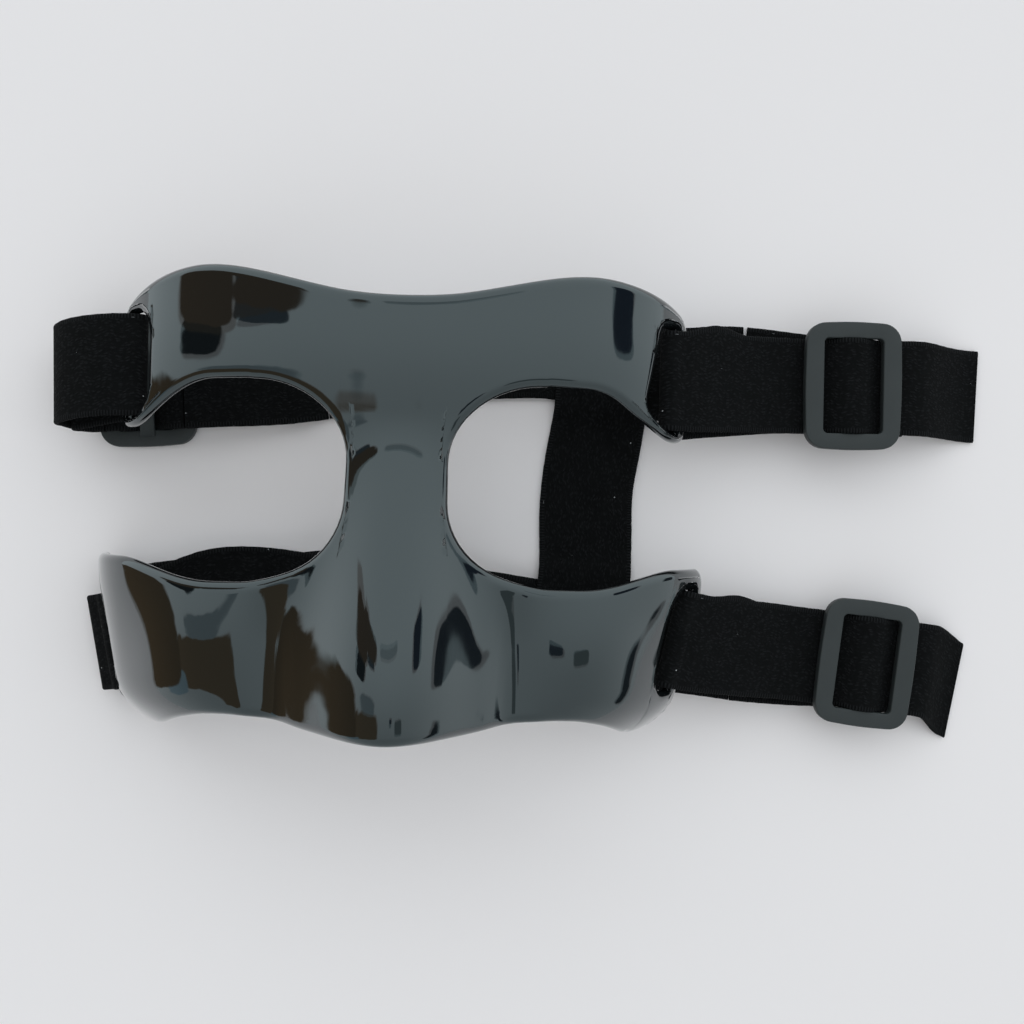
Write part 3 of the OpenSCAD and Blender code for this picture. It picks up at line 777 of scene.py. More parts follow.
@dataclass
class Shell:
    """The shell as two fine sheets that a rounded lip joins along every edge."""

    form: ShellForm
    centre_cols: int = 12
    eye_cols: int = 16
    cheek_cols: int = 30
    slot_cols: int = 12
    bar_cols: int = 8
    margin_rows: int = 7
    slot_rows: int = 18
    eye_rows: int = 8
    lip_steps: int = 12
    lip: float = 2.1
    lip_share: float = 0.42
    lip_most: float = 0.46
    even_passes: int = 12
    calm_passes: int = 2

    def columns(self, b: int, s: int) -> Array:
        """Angles of the grid's columns from the middle out to a wing's end.

        Args:
            b: The band.
            s: The side.

        Returns:
            The angles, rising.
        """
        f = self.form
        a, z, e = f.slot_in[b][s], f.slot_out(b, s), f.wing_end(b, s)
        eye = 1 - np.cos(np.linspace(0, np.pi / 2, self.eye_cols + 1)[1:])
        slot = 0.5 - 0.5 * np.cos(np.linspace(0, np.pi, self.slot_cols + 1)[1:])
        return np.concatenate([
            np.linspace(0, f.eye_in, self.centre_cols + 1),
            f.eye_in + (f.eye_mid - f.eye_in) * eye,
            np.linspace(f.eye_mid, a, self.cheek_cols + 1)[1:],
            a + (z - a) * slot,
            np.linspace(z, e, self.bar_cols + 1)[1:]])

    def window(self, a: Array, b: int, s: int) -> Array:
        """How far a slot's window is open at angle a: quarter ellipses at its inner and outer ends.

        Args:
            a: Angles from the middle, in degrees.
            b: The band.
            s: The side.

        Returns:
            From 0, shut, to 1, fully open.
        """
        f = self.form
        a0, a1 = f.slot_in[b][s], f.slot_out(b, s)
        inner = np.sqrt(1 - np.clip((a0 + 0.6 * f.slot_w - a) / (0.6 * f.slot_w), 0, 1) ** 2)
        outer = np.sqrt(1 - np.clip((a - a1 + 1.6) / 1.6, 0, 1) ** 2) * 0.1 + 0.9
        return inner * np.where(a > (a0 + a1) / 2, outer, 1.0)

    def band_rows(self, a: Array, b: int, s: int) -> Array:
        """Heights of a band's rows at each angle, led round the slot's window near it.

        Args:
            a: Angles from the middle, in degrees.
            b: The band.
            s: The side.

        Returns:
            The heights, rows by columns.
        """
        f, m, n = self.form, self.margin_rows, self.slot_rows
        lo, hi, mid = f.low(a, b, s), f.high(a, b, s), f.slot_mid[b][s]
        w = self.window(a, b, s)
        p = (mid - f.slot_flat) * (1 - w) + np.maximum(mid - f.slot_reach, lo + f.hook_w) * w
        q = (mid + f.slot_flat) * (1 - w) + np.minimum(mid + f.slot_reach, hi - f.slot_margin) * w
        t = np.linspace(0, 1, 2 * m + n + 1)[:, None]
        even = lo + (hi - lo) * t
        ease = 0.5 - 0.5 * np.cos(np.linspace(0, np.pi, m + 1))[:, None]
        cut = np.concatenate([lo + (p - lo) * ease, p + (q - p) * np.linspace(0, 1, n + 1)[1:-1, None],
                              q + (hi - q) * ease])
        return even + (cut - even) * smooth((a - f.slot_in[b][s] + 22) / 22)

    def half_grid(self, s: Side) -> tuple[Array, Array]:
        """Angles and heights of one side's grid, rows from the chin to the brow.

        Args:
            s: The side.

        Returns:
            The angles and the heights, rows by columns.
        """
        f, bands = self.form, {}
        for b in (Band.CHEEK, Band.BROW):
            a = self.columns(b, s)
            y = self.band_rows(a, b, s)
            z, bar = f.slot_out(b, s), f.bar(b, s)
            lo, hi, r = y[0], y[-1], min(f.corner, 0.82 * bar)
            q = np.clip((np.abs(y - (lo + hi) / 2) - (hi - lo) / 2 + r) / r, 0, 1)
            cut = r * (1 - np.sqrt(1 - q * q)) / f.mm_per_deg
            part = np.clip((a - z) / (f.wing_end(b, s) - z), 0, 1)
            place = a - cut * part
            y = np.array([np.interp(row, a, line) for row, line in zip(place, y)])
            bands[b] = (place + f.leaning(y, place, b, s), y)
        lo_a, lo_y = bands[Band.CHEEK]
        hi_a, hi_y = bands[Band.BROW]
        t = np.linspace(0, 1, self.eye_rows + 1)[1:-1, None]
        span_a = lo_a[-1] + (hi_a[0] - lo_a[-1]) * t
        span_y = lo_y[-1] + (hi_y[0] - lo_y[-1]) * t
        return np.concatenate([lo_a, span_a, hi_a]), np.concatenate([lo_y, span_y, hi_y])

    def grid(self) -> tuple[Array, Array, Array, Array]:
        """Whole grid.

        Returns:
            Signed angles, heights, sides, and which cells are filled, columns first.
        """
        (la, ly), (ra, ry) = self.half_grid(Side.LEFT), self.half_grid(Side.RIGHT)
        a = np.concatenate([-la[:, :0:-1], ra], 1).T
        y = np.concatenate([ly[:, :0:-1], ry], 1).T
        s = (np.arange(a.shape[0]) >= la.shape[1] - 1).astype(int)[:, None] + np.zeros(a.shape, int)
        k = np.arange(a.shape[0] - 1) - (la.shape[1] - 1)
        k = np.where(k < 0, -k - 1, k)[:, None]
        band = 2 * self.margin_rows + self.slot_rows
        r = np.arange(a.shape[1] - 1)[None, :]
        j = np.where(r < band, r, r - band - self.eye_rows)
        eye_col = self.centre_cols
        slot_col = eye_col + self.eye_cols + self.cheek_cols
        eye = (k >= eye_col) & (r >= band) & (r < band + self.eye_rows)
        slot = (k >= slot_col) & (k < slot_col + self.slot_cols) & (j >= self.margin_rows) \
            & (j < self.margin_rows + self.slot_rows)
        return a, y, s, ~(eye | slot)

    def build(self) -> bpy.types.Object:
        """Makes the shell.

        Every edge point is moved in by the lip's width along the surface, the points near it follow, and a
        half ellipse is swept along the edge from the outer sheet to the inner one.

        Returns:
            The shell's object.
        """
        f = self.form
        a, y, s, full = self.grid()
        ids = np.arange(a.size).reshape(a.shape)
        square = (ids[:-1, :-1], ids[1:, :-1], ids[1:, 1:], ids[:-1, 1:])
        edges = self.open_edges(full, *square)
        rim = np.unique(edges)
        point = f.skin(a, y, s).reshape(-1, 3)
        lateral = self.sideways(point, f.outward(a, y, s).reshape(-1, 3), edges, rim)
        wide = self.strand(point[rim], lateral[rim])
        reach = self.lip_widths(edges, rim, wide, a.size)
        free = np.ones(a.size, bool)
        free[rim] = False
        want = self.pull(point, rim, lateral, reach, wide).reshape(*a.shape, 3)
        for _ in range(self.calm_passes):
            near = np.pad(want, ((1, 1), (1, 1), (0, 0)), "edge")
            mean = (near[:-2, 1:-1] + near[2:, 1:-1] + near[1:-1, :-2] + near[1:-1, 2:]) / 4
            want = np.where(free.reshape(*a.shape, 1), mean, want)
        move = self.inset(a, y, s, want)
        a, y = a + move[..., 0], y + move[..., 1]
        outer = f.skin(a, y, s).reshape(-1, 3)
        normal = f.outward(a, y, s).reshape(-1, 3)
        ring, lips = self.lips(outer, normal, lateral[rim], reach[rim], edges, rim)
        cells = np.stack([corner[full] for corner in square], -1)
        verts = np.concatenate([outer, outer - f.wall * normal, ring])
        quads = np.concatenate([cells, cells[:, ::-1] + a.size, lips])
        used, numbers = np.unique(quads, return_inverse=True)
        return put_mesh("face_shell", verts[used], numbers.reshape(quads.shape))

    @staticmethod
    def open_edges(full: Array, c00: Array, c10: Array, c11: Array, c01: Array) -> Array:
        """Pairs of point numbers along every open edge, with the plastic on their right from outside.

        Args:
            full: Which cells are filled.
            c00: Numbers of the cells' first corners.
            c10: Numbers of the corners one column on.
            c11: Numbers of the corners one column and one row on.
            c01: Numbers of the corners one row on.

        Returns:
            Pairs of numbers, n by 2.
        """
        pad = np.pad(full, 1)
        sides = ((c00, c01, pad[:-2, 1:-1]), (c11, c10, pad[2:, 1:-1]),
                 (c10, c00, pad[1:-1, :-2]), (c01, c11, pad[1:-1, 2:]))
        return np.concatenate([
            np.stack([start[full & ~beyond], end[full & ~beyond]], -1) for start, end, beyond in sides])

    @staticmethod
    def sideways(point: Array, normal: Array, edges: Array, rim: Array) -> Array:
        """Directions along the surface that lead away from the plastic.

        Args:
            point: Points of the grid.
            normal: Normals at those points.
            edges: Pairs of numbers along the open edges.
            rim: Numbers of the edge points.

        Returns:
            A unit vector at every edge point, and zero elsewhere.
        """
        side = np.cross(normal[edges].mean(1), point[edges[:, 1]] - point[edges[:, 0]])
        side /= np.maximum(np.linalg.norm(side, axis=1, keepdims=True), 1e-9)
        lateral = np.zeros_like(point)
        np.add.at(lateral, edges[:, 0], side)
        np.add.at(lateral, edges[:, 1], side)
        lateral[rim] = unit(lateral[rim])
        return lateral

    def lip_widths(self, edges: Array, rim: Array, wide: Array, n: int) -> Array:
        """How far each point moves in: the lip's width, less on narrow strands, evened along the edge.

        Args:
            edges: Pairs of numbers along the open edges.
            rim: Numbers of the edge points.
            wide: Width of the plastic at each edge point.
            n: Number of points in the grid.

        Returns:
            A distance for every point, zero away from the edges.
        """
        count = np.maximum(np.bincount(edges.ravel(), minlength=n), 1)
        reach = np.zeros(n)
        reach[rim] = np.minimum(self.lip, self.lip_share * wide)
        for _ in range(self.even_passes):
            reach[rim] = (np.bincount(edges.ravel(), np.repeat(reach[edges].mean(1), 2), n) / count)[rim]
        reach[rim] = np.minimum(reach[rim], self.lip_most * wide)
        return reach

    def lips(self, outer: Array, normal: Array, lateral: Array, reach: Array, edges: Array,
             rim: Array) -> tuple[Array, Array]:
        """Half ellipses that join the two sheets along every edge.

        Args:
            outer: Points of the outer sheet.
            normal: Normals at those points.
            lateral: Directions away from the plastic at the edge points.
            reach: Half width of the ellipse at each edge point.
            edges: Pairs of numbers along the open edges.
            rim: Numbers of the edge points.

        Returns:
            Points between the sheets, and faces from the outer sheet over them to the inner one.
        """
        wall, n, up = self.form.wall, len(outer), normal[rim]
        away = unit(lateral - up * (lateral * up).sum(1, keepdims=True))
        turn = np.linspace(0, np.pi, self.lip_steps + 1)[1:-1, None, None]
        ring = outer[rim] - up * wall / 2 + wall / 2 * np.cos(turn) * up
        ring = ring + reach[:, None] * np.sin(turn) * away
        e = np.searchsorted(rim, edges)
        levels = [edges, *(2 * n + k * len(rim) + e for k in range(len(turn))), edges + n]
        faces = [np.stack([p[:, 0], p[:, 1], q[:, 1], q[:, 0]], -1) for p, q in zip(levels, levels[1:])]
        return ring.reshape(-1, 3), np.concatenate(faces)

    @staticmethod
    def strand(point: Array, lateral: Array) -> Array:
        """Width of the plastic at each edge point.

        Args:
            point: The edge points.
            lateral: Directions away from the plastic there.

        Returns:
            Distances to the nearest edge point that faces the other way, or 99 where none does.
        """
        gap = point[None] - point[:, None]
        far = np.linalg.norm(gap, axis=-1) + 1e-9
        facing = (lateral @ lateral.T < -0.3) & (-(gap * lateral[:, None]).sum(-1) > 0.6 * far)
        return np.where(facing, far, 99.0).min(1)

    def pull(self, point: Array, rim: Array, lateral: Array, reach: Array, wide: Array) -> Array:
        """How every point moves as the edges are drawn in: its nearest edge point's move, less with distance.

        Args:
            point: Points of the grid.
            rim: Numbers of the edge points.
            lateral: Outward directions along the surface at the edge points.
            reach: How far each edge point moves in.
            wide: Width of the plastic at each edge point.

        Returns:
            Moves in space, one for each point.
        """
        near, far = np.empty(len(point), int), np.empty(len(point))
        for k in range(0, len(point), 500):
            d = np.linalg.norm(point[k:k + 500, None] - point[rim][None], axis=-1)
            near[k:k + 500], far[k:k + 500] = d.argmin(1), d.min(1)
        fade = np.minimum(5 * self.lip, 0.5 * wide)[near]
        size = reach[rim][near] * np.clip(1 - far / fade, 0, 1)
        return -lateral[rim][near] * size[:, None]

    def inset(self, a: Array, y: Array, s: Array, want: Array) -> Array:
        """Moves in angle and height that make given moves in space along the surface.

        Args:
            a: Angles.
            y: Heights.
            s: Sides.
            want: Moves in space, one for each grid point.

        Returns:
            Moves in angle and height for every grid point.
        """
        f, e = self.form, 0.05
        da = (f.skin(a + e, y, s) - f.skin(a - e, y, s)) / (2 * e)
        dy = (f.skin(a, y + e, s) - f.skin(a, y - e, s)) / (2 * e)
        aa, ay, yy = (da * da).sum(-1), (da * dy).sum(-1), (dy * dy).sum(-1)
        ta, ty = (da * want).sum(-1), (dy * want).sum(-1)
        det = aa * yy - ay * ay
        return np.stack([(yy * ta - ay * ty) / det, (aa * ty - ay * ta) / det], -1)


@dataclass
class FoamPad:
    """A foam pad glued under the shell: a crowned closed form with a rounded outline."""

    form: ShellForm
    name: str
    band: Band
    start: float
    end: float
    glue: float = 0.55
    thick: float = 3.4
    margin: float = 4.5
    round_r: float = 1.3
    crown: float = 0.35
    eye_gap: float = 17.0
    cols: int = 64
    rows: int = 30

    def build(self) -> bpy.types.Object:
        """Makes the pad: a disc-like grid whose thickness falls to nothing at its outline.

        Returns:
            The pad's object.
        """
        f = self.form
        c, r = np.meshgrid(np.linspace(-1, 1, self.cols), np.linspace(-1, 1, self.rows), indexing="ij")
        a = (self.start + self.end) / 2 + (self.end - self.start) / 2 * c
        k = np.abs(a)
        s = (a > 0).astype(int)
        side = Side.LEFT if self.end < 0 else Side.RIGHT
        lo = f.low(k, self.band, side)
        if self.band == Band.BROW:
            lo = np.maximum(lo, f.eye_y + self.eye_gap)
        lo, hi = lo + self.margin, f.high(k, self.band, side) - self.margin
        width = 0.75 * np.sqrt(1 - c**8) + 0.25
        y = (lo + hi) / 2 + (hi - lo) / 2 * r * width
        edge_c = (1 - np.abs(c)) * abs(self.end - self.start) * 0.425
        edge_r = (1 - np.abs(r)) * (hi - lo) / 2 * width
        edge = np.minimum(edge_c, edge_r)
        r0 = self.round_r
        drop = r0 - np.sqrt(np.maximum(r0**2 - np.clip(r0 - edge, 0, r0) ** 2, 0))
        crown = self.crown * bell(c) * bell(r) - self.crown
        top = f.inside(a, y, s, f.wall + self.glue) - drop[..., None] * 0.35 * f.outward(a, y, s)
        thick = (self.thick + crown - 1.6 * drop)[..., None]
        low = f.inside(a, y, s, f.wall + self.glue) - thick * f.outward(a, y, s)
        n = self.cols * self.rows
        quads = grid_quads(self.cols, self.rows)
        loop = np.concatenate([
            np.arange(self.rows), np.arange(1, self.cols) * self.rows + self.rows - 1,
            (self.cols - 1) * self.rows + np.arange(self.rows - 2, -1, -1),
            np.arange(self.cols - 2, 0, -1) * self.rows])
        nxt = np.roll(loop, -1)
        wall = np.stack([loop, nxt, nxt + n, loop + n], -1)
        return put_mesh(self.name, np.concatenate([top.reshape(-1, 3), low.reshape(-1, 3)]),
                        np.concatenate([quads[:, ::-1], quads + n, wall]))


@dataclass(frozen=True)
class Seat:
    """Where a buckle lies: its centre, the height of the frame's underside, its turn and facing."""

    x: float
    y: float
    z: float
    yaw: float
    facing: Facing


@dataclass
class Harness:
    """Straps and buckles, with every route worked out as the part's source does."""

    form: ShellForm
    strap_w: float = 24.6
    strap_t: float = 1.2
    buckle_l: float = 24.6
    buckle_w: float = 32.4
    buckle_t: float = 2.6
    side_bar: float = 4.6
    mid_bar: float = 3.8
    buckle_r: float = 5.0
    ply: float = 0.12
    lift: float = 0.25
    butt: float = 0.3
    bar_lo: float = -1.0
    bar_hi: float = 0.5

    def __post_init__(self) -> None:
        """Works out the derived sizes."""
        self.bed = self.strap_t / 2
        self.low_ply = -self.strap_t / 2 - self.ply - 0.1
        self.high_ply = self.bar_hi + 0.4 + 1.5 * self.strap_t + self.ply
        self.pitch = self.strap_t + self.ply
        self.step_in = self.mid_bar / 2 - 0.9
        self.step_out = self.buckle_l / 2 - self.side_bar + 0.3
        self.seam_s = self.buckle_l / 2 - 2.3
        self.clear_s = self.buckle_l / 2 + 0.6
        self.wrap_r = self.form.wall / 2 + 2 * self.ply + self.strap_t / 2
        down_z = self.lift + self.high_ply + self.strap_t / 2 - self.buckle_t
        self.seats = {
            "upper_right": Seat(114, 35.6, 11, 0.5, Facing.UP),
            "lower_right": Seat(120.8, -36.2, 7.4, -6.2, Facing.UP),
            "upper_left": Seat(-68.6, 31.6, down_z, 4, Facing.DOWN),
            "lower_left": Seat(-6, -24.2, down_z, -5, Facing.DOWN)}

    def ply_z(self, k: Seat, i: int) -> float:
        """Height of the outer (0) or inner (1) ply at a buckle."""
        z = self.low_ply - i * self.pitch
        return k.z + z if k.facing is Facing.UP else k.z + self.buckle_t - z

    def seat(self, k: Seat, s: float, i: int) -> Array:
        """Point s along the strap from a buckle's centre."""
        return np.array([k.x, k.y, self.ply_z(k, i)]) + s * along(k.yaw)


@dataclass(frozen=True)
class SlotFrame:
    """Directions at a slot's outer edge: along it, out of the shell and up the wing."""

    centre: Array
    along: Array
    out: Array
    up: Array
    radius: float
    slack: float

    def point(self, turn: float) -> Array:
        """Point of the strap's middle round the bar.

        Args:
            turn: Degrees from out towards up.

        Returns:
            The point.
        """
        a = math.radians(turn)
        radius = self.radius + self.slack * math.sin(a) ** 2
        return self.centre + radius * (math.cos(a) * self.out + math.sin(a) * self.up)

    def way(self, turn: float) -> Array:
        """Direction of the strap there."""
        a = math.radians(turn)
        return -math.sin(a) * self.out + math.cos(a) * self.up


Route = tuple[Array, Array]


@dataclass
class Routes:
    """Middle lines of every length of strap, with the direction of its width."""

    gear: Harness
    arc_out: float = 6.0
    arc_in: float = 3.4
    lower_outer: tuple = ((-30, -23.9), (-45, -24.3), (-57, -26.1), (-68.6, -28.8))
    lower_inner: tuple = ((-64.5, -29.7), (-50.8, -23.8), (-40, -22.4), (-25, -23.7))
    inner_turn: float = 23.0
    rise: tuple[float, float] = (-36.0, -19.0)
    tail_steps: int = 8
    ply_slip: float = 1.6
    slack: float = 1.8
    dock_run: float = 8.0
    crown_low: tuple[float, float] = (46.2, -30.3)
    crown_high: tuple[float, float] = (51.2, 43.4)
    crown_bow: float = 1.4
    seam_len: float = 20.0
    wrap_steps: int = 7
    tail_lens: ClassVar[dict[str, int]] = {
        "upper_left": 25, "upper_right": 25, "lower_left": 20, "lower_right": 16}
    tail_turns: ClassVar[dict[str, int]] = {
        "upper_left": 1, "upper_right": -2, "lower_left": -3, "lower_right": -20}
    tail_levels: ClassVar[dict[str, float]] = {
        "upper_left": 2.0, "upper_right": 7.0, "lower_left": 2.0, "lower_right": 6.0}
    tail_cut: ClassVar[dict[str, int]] = {"lower_right": -4}
    dock_turns: ClassVar[dict[str, int]] = {"upper_left": 6, "lower_left": -3}

    def slot(self, b: int, s: int) -> SlotFrame:
        """Frame of a slot's outer edge.

        Args:
            b: The band.
            s: The side.

        Returns:
            The frame.
        """
        f, g = self.gear.form, self.gear
        y, h = f.slot_mid[b][s], g.strap_w / 2 - 3
        lo, hi = f.slot_point(b, s, y - h), f.slot_point(b, s, y + h)
        d = unit(hi - lo)
        n = f.outward(Side(s).sign * f.slot_out(b, s), y, s)
        o = unit(n - d * (n @ d))
        return SlotFrame((lo + hi) / 2, d, o, Side(s).sign * np.cross(o, d), g.wrap_r, self.slack)

    def under_bar(self, b: int, s: int) -> Array:
        """Point of the strap's middle under a wing's end.

        Args:
            b: The band.
            s: The side.

        Returns:
            The point.
        """
        f, g = self.gear.form, self.gear
        depth = f.wall + 3 * g.ply + g.strap_t / 2
        return f.inside(Side(s).sign * f.wing_end(b, s), f.slot_mid[b][s], s, depth)

    def loop(self, k: Seat, slot: SlotFrame, enter: float, out: Array, back: Array) -> Route:
        """Loop from a buckle's outer ply through a slot and back to its inner ply.

        Args:
            k: The buckle's seat.
            slot: The slot's frame.
            enter: Turn at which the strap meets the bar.
            out: Points from the buckle to the bar.
            back: Points from the bar to the buckle.

        Returns:
            The loop's points and width directions.
        """
        n = self.wrap_steps
        wrap = np.array([slot.point(t) for t in np.linspace(enter, 180, n)])
        flat = across(k.yaw)
        widths = [turned(flat, slot.along, len(out) - 1), np.tile(slot.along, (n, 1)),
                  turned(slot.along, flat, len(back) - 1)]
        return np.concatenate([out, wrap, back]), np.concatenate(widths)

    def ends(self, k: Seat) -> tuple[Array, Array, Array, Array]:
        """Where a loop leaves the buckle's two plies, and where it is clear of the frame.

        Args:
            k: The buckle's seat.

        Returns:
            The outer ply's end and clear point, then the inner ply's clear point and end.
        """
        g = self.gear
        return (g.seat(k, -g.seam_s - g.butt, 0), g.seat(k, -g.clear_s, 0),
                g.seat(k, -g.clear_s, 1), g.seat(k, -g.seam_s - g.butt, 1))

    def right_loop(self, corner: str, b: int) -> Route:
        """Loop of a right-hand buckle: down from the slot in two easy curves.

        Args:
            corner: The buckle's corner.
            b: The band with the slot.

        Returns:
            Its points and width directions.
        """
        k, enter = self.gear.seats[corner], 40.0
        slot, u = self.slot(b, Side.RIGHT), along(k.yaw)
        r = self.under_bar(b, Side.RIGHT) - self.ply_slip * slot.along
        a0, a, z, z0 = self.ends(k)
        p = slot.point(enter)
        out = np.concatenate([[a0], span(a, a - 11 * u, p - 9 * slot.way(enter), p, 8)[:-1]])
        back = np.concatenate([span(r, r - 4.5 * slot.up, z - 14 * u, z, 9), [z0]])
        return self.loop(k, slot, enter, out, back)

    def upper_left_loop(self) -> Route:
        """Loop that stands in a wide arc beside the wing.

        Returns:
            Its points and width directions.
        """
        k, enter = self.gear.seats["upper_left"], 66.0
        slot, u, r = self.slot(Band.BROW, Side.LEFT), along(k.yaw), self.under_bar(Band.BROW, Side.LEFT)
        a0, a, z, z0 = self.ends(k)
        p = slot.point(enter)
        m = a - self.arc_out * u + np.array([0, 0.4 * (p[1] - a[1]), 0.48 * (p[2] - a[2])])
        i = z - self.arc_in * u + UP * (self.arc_in + 1)
        out = np.concatenate([
            [a0], span(a, a - 0.55 * self.arc_out * u, m - 5.2 * UP, m, 7)[:-1],
            span(m, m + 6.2 * UP, p - 11 * slot.way(enter), p, 9)[:-1]])
        back = np.concatenate([
            span(r, r - 3 * slot.up, i + 4 * UP, i, 7),
            span(i, i - 0.55 * self.arc_in * UP, z - 0.55 * self.arc_in * u, z, 6)[1:], [z0]])
        return self.loop(k, slot, enter, out, back)

    def on_bed(self, p: Array, i: int) -> Array:
        """Points at the height of the lower left loop's outer (0) or inner (1) ply.

        Args:
            p: Points, whose heights are replaced.
            i: 0 for the outer ply, 1 for the inner one.

        Returns:
            The points.
        """
        g = self.gear
        low = g.bed + g.lift + i * (g.pitch + 0.1)
        high = g.ply_z(g.seats["lower_left"], i)
        q = np.array(p, float)
        q[:, 2] = low + (high - low) * smooth((q[:, 0] - self.rise[0]) / (self.rise[1] - self.rise[0]))
        return q

    def course(self, points: list, n: int, start: Array, end: Array) -> Array:
        """Curve on the table through points, with given end directions.

        Args:
            points: Places in plan.
            n: Steps from one point to the next.
            start: Direction at the first point.
            end: Direction at the last point.

        Returns:
            Points of the curve.
        """
        p = np.array([[*q[:2], self.gear.bed] for q in points], float)
        t = np.zeros_like(p)
        t[1:-1] = (p[2:] - p[:-2]) / 2
        t[0], t[-1] = np.linalg.norm(p[1] - p[0]) * start, np.linalg.norm(p[-1] - p[-2]) * end
        u = np.linspace(0, 1, n + 1)[1:, None]
        parts = [p[:1]]
        parts += [hermite(u, p[i], p[i + 1], t[i], t[i + 1]) for i in range(len(p) - 1)]
        return np.concatenate(parts)

    def lower_left_loop(self) -> Route:
        """Loop folded under the wing, whose plies run on the table to a buckle under the nose.

        Returns:
            Its points and width directions.
        """
        k, enter = self.gear.seats["lower_left"], 25.0
        slot, u = self.slot(Band.CHEEK, Side.LEFT), along(k.yaw)
        v = unit(slot.out * [1, 1, 0])
        a0, a, z, z0 = self.ends(k)
        p, q, c = slot.point(enter), slot.point(180), slot.centre
        d = self.on_bed(c[None], 0)[0]
        m = c * [1, 1, 0] + 5 * UP + (slot.radius + 3.6) * v
        e = self.on_bed(np.array([[*self.lower_inner[0], 0]]), 1)[0]
        turn = along(self.inner_turn)
        out = np.concatenate([
            [a0], self.on_bed(self.course([a, *self.lower_outer, d], 3, -u, v), 0),
            span(d, d + 3.3 * v, m - 2.4 * UP, m, 6)[1:],
            span(m, m + 2.2 * UP, p - 1.6 * slot.way(enter), p, 4)[1:-1]])
        back = np.concatenate([
            span(q, q - 3.4 * slot.up, e - 5 * turn, e, 6)[1:],
            self.on_bed(self.course([*self.lower_inner, z], 3, turn, u), 1)[1:], [z0]])
        return self.loop(k, slot, enter, out, back)

    def tail_end(self, corner: str) -> Array:
        """Middle of a free end, on the table.

        Args:
            corner: The buckle's corner.

        Returns:
            The point.
        """
        k, g = self.gear.seats[corner], self.gear
        way = along(k.yaw + self.tail_turns[corner])
        flat = np.array([k.x, k.y, g.bed])
        return flat + (g.buckle_l / 2 + 2) * along(k.yaw) + (self.tail_lens[corner] - 2) * way

    def tail(self, corner: str) -> Route:
        """Free end: level out of the buckle, then down to the table.

        Args:
            corner: The buckle's corner.

        Returns:
            The free end's points and width directions.
        """
        k, g = self.gear.seats[corner], self.gear
        cut = self.tail_cut.get(corner, self.tail_turns[corner])
        c, e = g.seat(k, g.seam_s + self.tail_levels[corner], 0), self.tail_end(corner)
        h = np.linalg.norm(e - c)
        way = along(k.yaw + self.tail_turns[corner])
        p = np.concatenate([[g.seat(k, g.seam_s + g.butt, 0)],
                            span(c, c + 0.26 * h * along(k.yaw), e - 0.36 * h * way, e, self.tail_steps)])
        flat = across(k.yaw)
        return p, np.concatenate([[flat], turned(flat, across(k.yaw + cut), self.tail_steps)])

    def dock_way(self, corner: str) -> Array:
        """Direction in which a left-hand back end meets its strap."""
        return along(self.gear.seats[corner].yaw + self.dock_turns[corner])

    def left_dock(self, corner: str) -> Array:
        """Where a left-hand back end meets its strap."""
        return self.tail_end(corner) + (self.dock_run + self.gear.butt) * self.dock_way(corner)

    def left_back_end(self, corner: str) -> Route:
        """Back end over a tail, then down to the table past the tail's end.

        Args:
            corner: The buckle's corner.

        Returns:
            Its points and width directions.
        """
        g = self.gear
        q, w = self.tail(corner)
        t = np.empty_like(q)
        t[0], t[-1] = q[1] - q[0], q[-1] - q[-2]
        t[1:-1] = q[2:] - q[:-2]
        m = len(q) - 1
        v = self.dock_way(corner)
        over = q + unit(np.cross(unit(t), w)) * (g.pitch + g.lift * np.arange(m + 1)[:, None] / m)
        e, d = over[m] + v, self.left_dock(corner) - g.butt * v
        flat = np.cross(UP, v)
        add = unit(w[m] + (flat - w[m]) * np.arange(1, 6)[:, None] / 5)
        return np.concatenate([over, span(e, e + 2.6 * v, d - 2.6 * v, d, 4)]), np.concatenate([w, add])

    def right_back_end(self, corner: str, dock: tuple, r: float) -> Route:
        """Back end that folds under its buckle and runs back to the table.

        Args:
            corner: The buckle's corner.
            dock: Place and turn at which it meets its strap.
            r: Radius of the fold.

        Returns:
            The back end's points and width directions.
        """
        k, g = self.gear.seats[corner], self.gear
        u, v = along(k.yaw), along(dock[2])
        a = g.seat(k, g.seam_s + g.butt, 1)
        c = a + 2.2 * u - UP * r
        e = c - UP * r - 2 * v
        d = np.array([dock[0], dock[1], g.bed]) + g.butt * v
        h = np.linalg.norm(e - d) / 2.8
        t = np.radians(90 - 22.5 * np.arange(9))[:, None]
        flat = across(k.yaw)
        p = np.concatenate([
            [a], c + r * (np.cos(t) * u + np.sin(t) * UP), span(e, e - h * v, d + h * v, d, 7)])
        return p, np.concatenate([np.tile(flat, (10, 1)), turned(flat, across(dock[2]), 7)])

    def lying(self, p: Array) -> Route:
        """Widths of a strap that lies flat: across its way in plan."""
        t = np.gradient(p, axis=0)
        return p, unit(np.stack([-t[:, 1], t[:, 0], 0 * t[:, 0]], -1))

    def back_strap(self, corner: str, route: tuple, dock: tuple) -> Route:
        """Back strap on the table between two back ends."""
        points = [self.left_dock(corner), *route, dock[:2]]
        return self.lying(self.course(points, 4, self.dock_way(corner), along(dock[2])))

    def crown_axes(self) -> tuple[Array, Array, float]:
        """Foot, direction and length of the crown strap."""
        lo, hi = np.array([*self.crown_low, 0.0]), np.array([*self.crown_high, 0.0])
        return lo, unit(hi - lo), float(np.linalg.norm(hi - lo))

